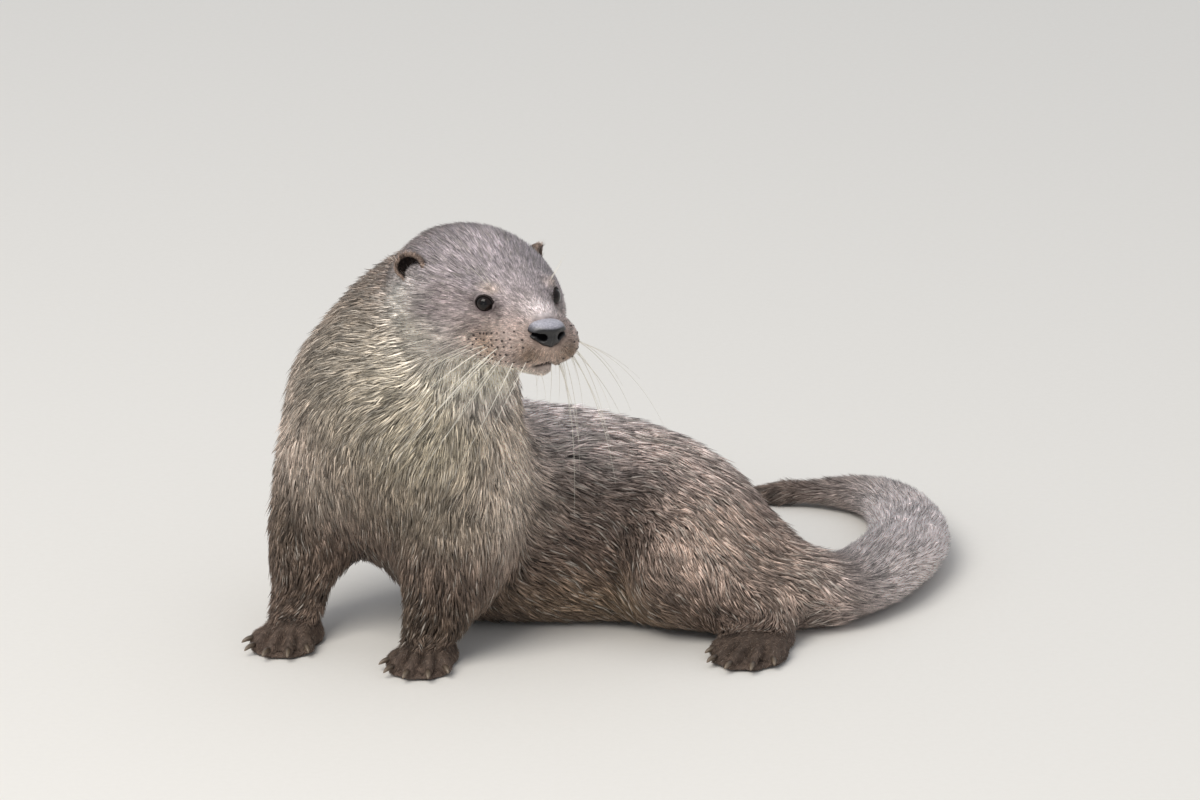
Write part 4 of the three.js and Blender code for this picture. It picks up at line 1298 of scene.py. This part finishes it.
def coatMaterial(name, rough, tip):
    material, tree = newMaterial(name)
    along, tone, guard = [node(tree, "Attribute", "Fac", {"attribute_name": kind})
                          for kind in ("along", "tone", "guard")]
    shade = node(tree, "MapRange", Value=along, From_Max=guardHair["middle"],
                 To_Min=guardHair["gain"] * guardHair["root"], To_Max=guardHair["gain"])
    reach = node(tree, "MapRange", Value=along, From_Min=guardHair["middle"], To_Min=1.0, To_Max=tip)
    strands = node(tree, "TexNoise", Vector=node(tree, "TexCoord", "Object"),
                   Scale=1 / (4 * guardHair["strand"] * mm), Detail=2.0)
    grain = node(tree, "MapRange", Value=strands, From_Min=0.3, From_Max=0.7, To_Min=0.86, To_Max=1.14)
    for factor in (reach, tone, grain):
        shade = node(tree, "Math", 0, times, i0=shade, i1=factor)
    grey = node(tree, "CombineColor", Red=shade, Green=shade, Blue=shade)
    hue = node(tree, "Attribute", "Color", {"attribute_name": "hue"})
    colour = node(tree, "Mix", 2, colourTimes, i0=1.0, i6=hue, i7=grey)
    paleness = node(tree, "MapRange", Value=along, From_Min=0.2, To_Min=0.1, To_Max=0.7)
    paleness = node(tree, "Math", 0, times, i0=guard, i1=paleness)
    colour = node(tree, "Mix", 2, colourMix, i0=paleness, i6=colour, i7=linear(guardHair["pale"]))
    surface = node(tree, "BsdfPrincipled", Base_Color=colour, Roughness=rough, IOR=guardHair["ior"],
                   Specular_IOR_Level=guardHair["specular"])
    node(tree, "OutputMaterial", Surface=surface)
    return material


coatMaterials = {name: coatMaterial(name, *values) for name, values in guardHair["kinds"].items()}
for part, made in coatPieces.items():
    for piece in made:
        piece.data.materials.append(coatMaterials[guardHair["on"].get(part, "dampCoat")])

# Underfur and bare skin: matt and dense below the tufts, and darker there, partly its own tone and partly
# painted shade between the tufts; smooth and dark on the lids and in the ears.
underfur = {
    "rough": 0.75,
    "specular": 0.3,
    "dark": 0.8,  # how dark it lies below the tufts, against their colour
    "fleck": 1.1,  # mm
    "bump": 0.35,
    "high": 0.4,  # mm
}
material, tree = newMaterial("underfur")
flecks = node(tree, "TexNoise", Vector=node(tree, "TexCoord", "Object"),
              Scale=1 / (2 * underfur["fleck"] * mm), Detail=3.0)
level = node(tree, "MapRange", Value=flecks, From_Min=0.3, From_Max=0.7, To_Min=underfur["dark"] * 0.7,
             To_Max=underfur["dark"] * 1.3)
bareness = node(tree, "Attribute", "Fac", {"attribute_name": "bare"})
level = node(tree, "Mix", 0, i0=bareness, i2=level, i3=1.0)
grey = node(tree, "CombineColor", Red=level, Green=level, Blue=level)
hue = node(tree, "Attribute", "Color", {"attribute_name": "hue"})
colour = node(tree, "Mix", 2, colourTimes, i0=1.0, i6=hue, i7=grey)
bumped = node(tree, "Bump", Strength=underfur["bump"], Distance=underfur["high"] * mm, Height=flecks)
surface = node(tree, "BsdfPrincipled", Base_Color=colour, Normal=bumped, Roughness=underfur["rough"],
               Specular_IOR_Level=underfur["specular"])
node(tree, "OutputMaterial", Surface=surface)
skin.data.materials.append(material)

# Eye: wet cornea over a very dark brown iris, so it reads black with a sharp light in it.
eyeLook = {
    "pupil": "#050405",
    "iris": ("#0c0706", "#1d110c"),
    "irisFrom": (14, 16.5),  # degrees from the look
    "limbus": "#0b0807",
    "limbusFrom": (31, 36),
    "white": "#3a2c28",
    "whiteFrom": (44, 54),
    "fibre": 0.9,  # mm
    "rough": 0.04,
    "ior": 1.376,
}
material, tree = newMaterial("wetEye")
angle = node(tree, "Attribute", "Fac", {"attribute_name": "fromLook"})
fibres = node(tree, "TexNoise", Vector=node(tree, "TexCoord", "Object"), Scale=1 / (eyeLook["fibre"] * mm),
              Detail=3.0)
fibres = node(tree, "MapRange", Value=fibres, From_Min=0.35, From_Max=0.65)
darkIris, brownIris = [linear(text) for text in eyeLook["iris"]]
iris = node(tree, "Mix", 2, colourMix, i0=fibres, i6=darkIris, i7=brownIris)
colour = linear(eyeLook["pupil"])
for outer, (low, high) in ((iris, eyeLook["irisFrom"]), (linear(eyeLook["limbus"]), eyeLook["limbusFrom"]),
                           (linear(eyeLook["white"]), eyeLook["whiteFrom"])):
    share = node(tree, "MapRange", Value=angle, From_Min=low, From_Max=high)
    colour = node(tree, "Mix", 2, colourMix, i0=share, i6=colour, i7=outer)
surface = node(tree, "BsdfPrincipled", Base_Color=colour, Roughness=eyeLook["rough"], IOR=eyeLook["ior"])
node(tree, "OutputMaterial", Surface=surface)
for eye in eyeObjects:
    eye.data.materials.append(material)

# Nose leather: bare, damp and pebbled, near black, with a painted blue-grey sky reflection on top and painted
# shade in the nostrils.
noseLook = {
    "pebble": 0.75,  # mm
    "bump": 0.55,
    "high": 0.25,  # mm
    "front": ("#181719", "#0c0b0d"),
    # painted sky reflection on the top of the pad, over its own near black
    "top": ("#cac8d3", "#9898a3"),
    # painted shade: the insides of the nostrils are made nearly black
    "pit": "#060506",
    "rough": (0.4, 0.95, 0.6),  # on the pad, in the nostrils, and how far into them that is reached
    "damp": (0.25, 0.0, 0.5),
    "specular": (0.5, 0.05, 0.6),
}
material, tree = newMaterial("noseLeather")
paintedSkyShine, pit = [node(tree, "Attribute", "Fac", {"attribute_name": kind}) for kind in ("paintedSkyShine", "pit")]
pebbles = node(tree, "TexVoronoi", 0, {"feature": "SMOOTH_F1"}, Vector=node(tree, "TexCoord", "Object"),
               Scale=1 / (noseLook["pebble"] * mm))
level = node(tree, "MapRange", Value=pebbles, From_Min=0.1, From_Max=0.6)
front, top = [node(tree, "Mix", 2, colourMix, i0=level, i6=linear(over), i7=linear(between))
              for over, between in (noseLook["front"], noseLook["top"])]
colour = node(tree, "Mix", 2, colourMix, i0=paintedSkyShine, i6=front, i7=top)
colour = node(tree, "Mix", 2, colourMix, i0=pit, i6=colour, i7=linear(noseLook["pit"]))
finishes = [noseLook["rough"], noseLook["damp"], noseLook["specular"]]
rough, damp, specular = [node(tree, "MapRange", Value=pit, From_Max=full, To_Min=onPad, To_Max=inPit)
                         for onPad, inPit, full in finishes]
bumped = node(tree, "Bump", 0, {"invert": True}, Strength=noseLook["bump"], Distance=noseLook["high"] * mm,
              Height=pebbles)
surface = node(tree, "BsdfPrincipled", Base_Color=colour, Normal=bumped, Roughness=rough, Coat_Weight=damp,
               Coat_Roughness=0.3, Specular_IOR_Level=specular)
node(tree, "OutputMaterial", Surface=surface)
nose.data.materials.append(material)


def fleckedMaterial(name, colours, fleck, rough, ior):  # two colours in soft flecks of a size in mm
    material, tree = newMaterial(name)
    flecks = node(tree, "TexNoise", Vector=node(tree, "TexCoord", "Object"), Scale=1 / (fleck * mm))
    colour = node(tree, "Mix", 2, colourMix, i0=flecks, i6=linear(colours[0]), i7=linear(colours[1]))
    surface = node(tree, "BsdfPrincipled", Base_Color=colour, Roughness=rough, IOR=ior)
    node(tree, "OutputMaterial", Surface=surface)
    return material


# Whisker: stiff clear keratin, pale and glossy.
whiskerHair.data.materials.append(fleckedMaterial("whiskerKeratin", ("#d8d2c4", "#f1ede2"), 6, 0.32, 1.55))

# Follicle: dark pigmented skin that the whisker stands in.
spots.data.materials.append(fleckedMaterial("follicle", ("#2b2220", "#4a3d38"), 0.8, 0.55, 1.5))

# Claw horn: keratin, brown at the root and paler to the worn tip, with fine grain.
clawLook = {
    "root": "#3b302a",
    "tip": "#8a7a68",
    "grain": 0.7,  # mm
    "grainShare": 0.5,
    "bump": 0.2,
    "high": 0.1,  # mm
    "rough": 0.36,
    "ior": 1.55,
}
material, tree = newMaterial("clawHorn")
grain = node(tree, "TexNoise", Vector=node(tree, "TexCoord", "Object"), Scale=1 / (clawLook["grain"] * mm),
             Detail=3.0)
along = node(tree, "Attribute", "Fac", {"attribute_name": "along"})
colour = node(tree, "Mix", 2, colourMix, i0=along, i6=linear(clawLook["root"]), i7=linear(clawLook["tip"]))
colour = node(tree, "Mix", 2, colourTimes, i0=clawLook["grainShare"], i6=colour, i7=grain)
bumped = node(tree, "Bump", Strength=clawLook["bump"], Distance=clawLook["high"] * mm, Height=grain)
surface = node(tree, "BsdfPrincipled", Base_Color=colour, Normal=bumped, Roughness=clawLook["rough"],
               IOR=clawLook["ior"])
node(tree, "OutputMaterial", Surface=surface)
for claws in clawObjects:
    claws.data.materials.append(material)
print("materials made")


# the floor and the light
stage = {
    "floor": ("#e9e7e3", "#dedbd5"),
    "half": 30,  # m to each edge
    "speckle": 4,  # mm
    "sky": "#f2f5fa",
    "skyLevel": 0.6,
    "key": (-1500, -2200, 3200),  # mm
    "keyAim": (-40, -40, 100),
    "keySize": 2600,
    "keyPower": 120,  # W
    "keyColour": "#fffaf2",
}
corners = [(-1, -1, 0), (1, -1, 0), (1, 1, 0), (-1, 1, 0)]
floor = addObject("floor", np.array(corners, float) * stage["half"], [(0, 1, 2, 3)], smooth=False)
# Paper: pale, uncoated and matt, so it takes the shadow and gives no shine.
material, tree = newMaterial("paperFloor")
speckle = node(tree, "TexNoise", Vector=node(tree, "TexCoord", "Object"), Scale=1 / (stage["speckle"] * mm))
speckle = node(tree, "MapRange", Value=speckle, From_Min=0.3, From_Max=0.7, To_Max=0.12)
paper, fibre = [linear(text) for text in stage["floor"]]
colour = node(tree, "Mix", 2, colourMix, i0=speckle, i6=paper, i7=fibre)
surface = node(tree, "BsdfPrincipled", Base_Color=colour, Roughness=0.9, Specular_IOR_Level=0.2)
node(tree, "OutputMaterial", Surface=surface)
floor.data.materials.append(material)

world = bpy.data.worlds.new("sky")
world.use_nodes = True
bpy.context.scene.world = world
backdrop = world.node_tree.nodes["Background"]
backdrop.inputs["Color"].default_value = linear(stage["sky"])
backdrop.inputs["Strength"].default_value = stage["skyLevel"]
lampData = bpy.data.lights.new("key", "AREA")
lampData.shape = "SQUARE"
lampData.size = stage["keySize"] * mm
lampData.energy = stage["keyPower"]
lampData.color = linear(stage["keyColour"])[:3]
lamp = bpy.data.objects.new("key", lampData)
lamp.location = Vector(stage["key"]) * mm
lamp.rotation_euler = (Vector(stage["keyAim"]) * mm - lamp.location).to_track_quat("-Z", "Y").to_euler()
bpy.context.scene.collection.objects.link(lamp)
print("lit")

bpy.context.view_layer.update()
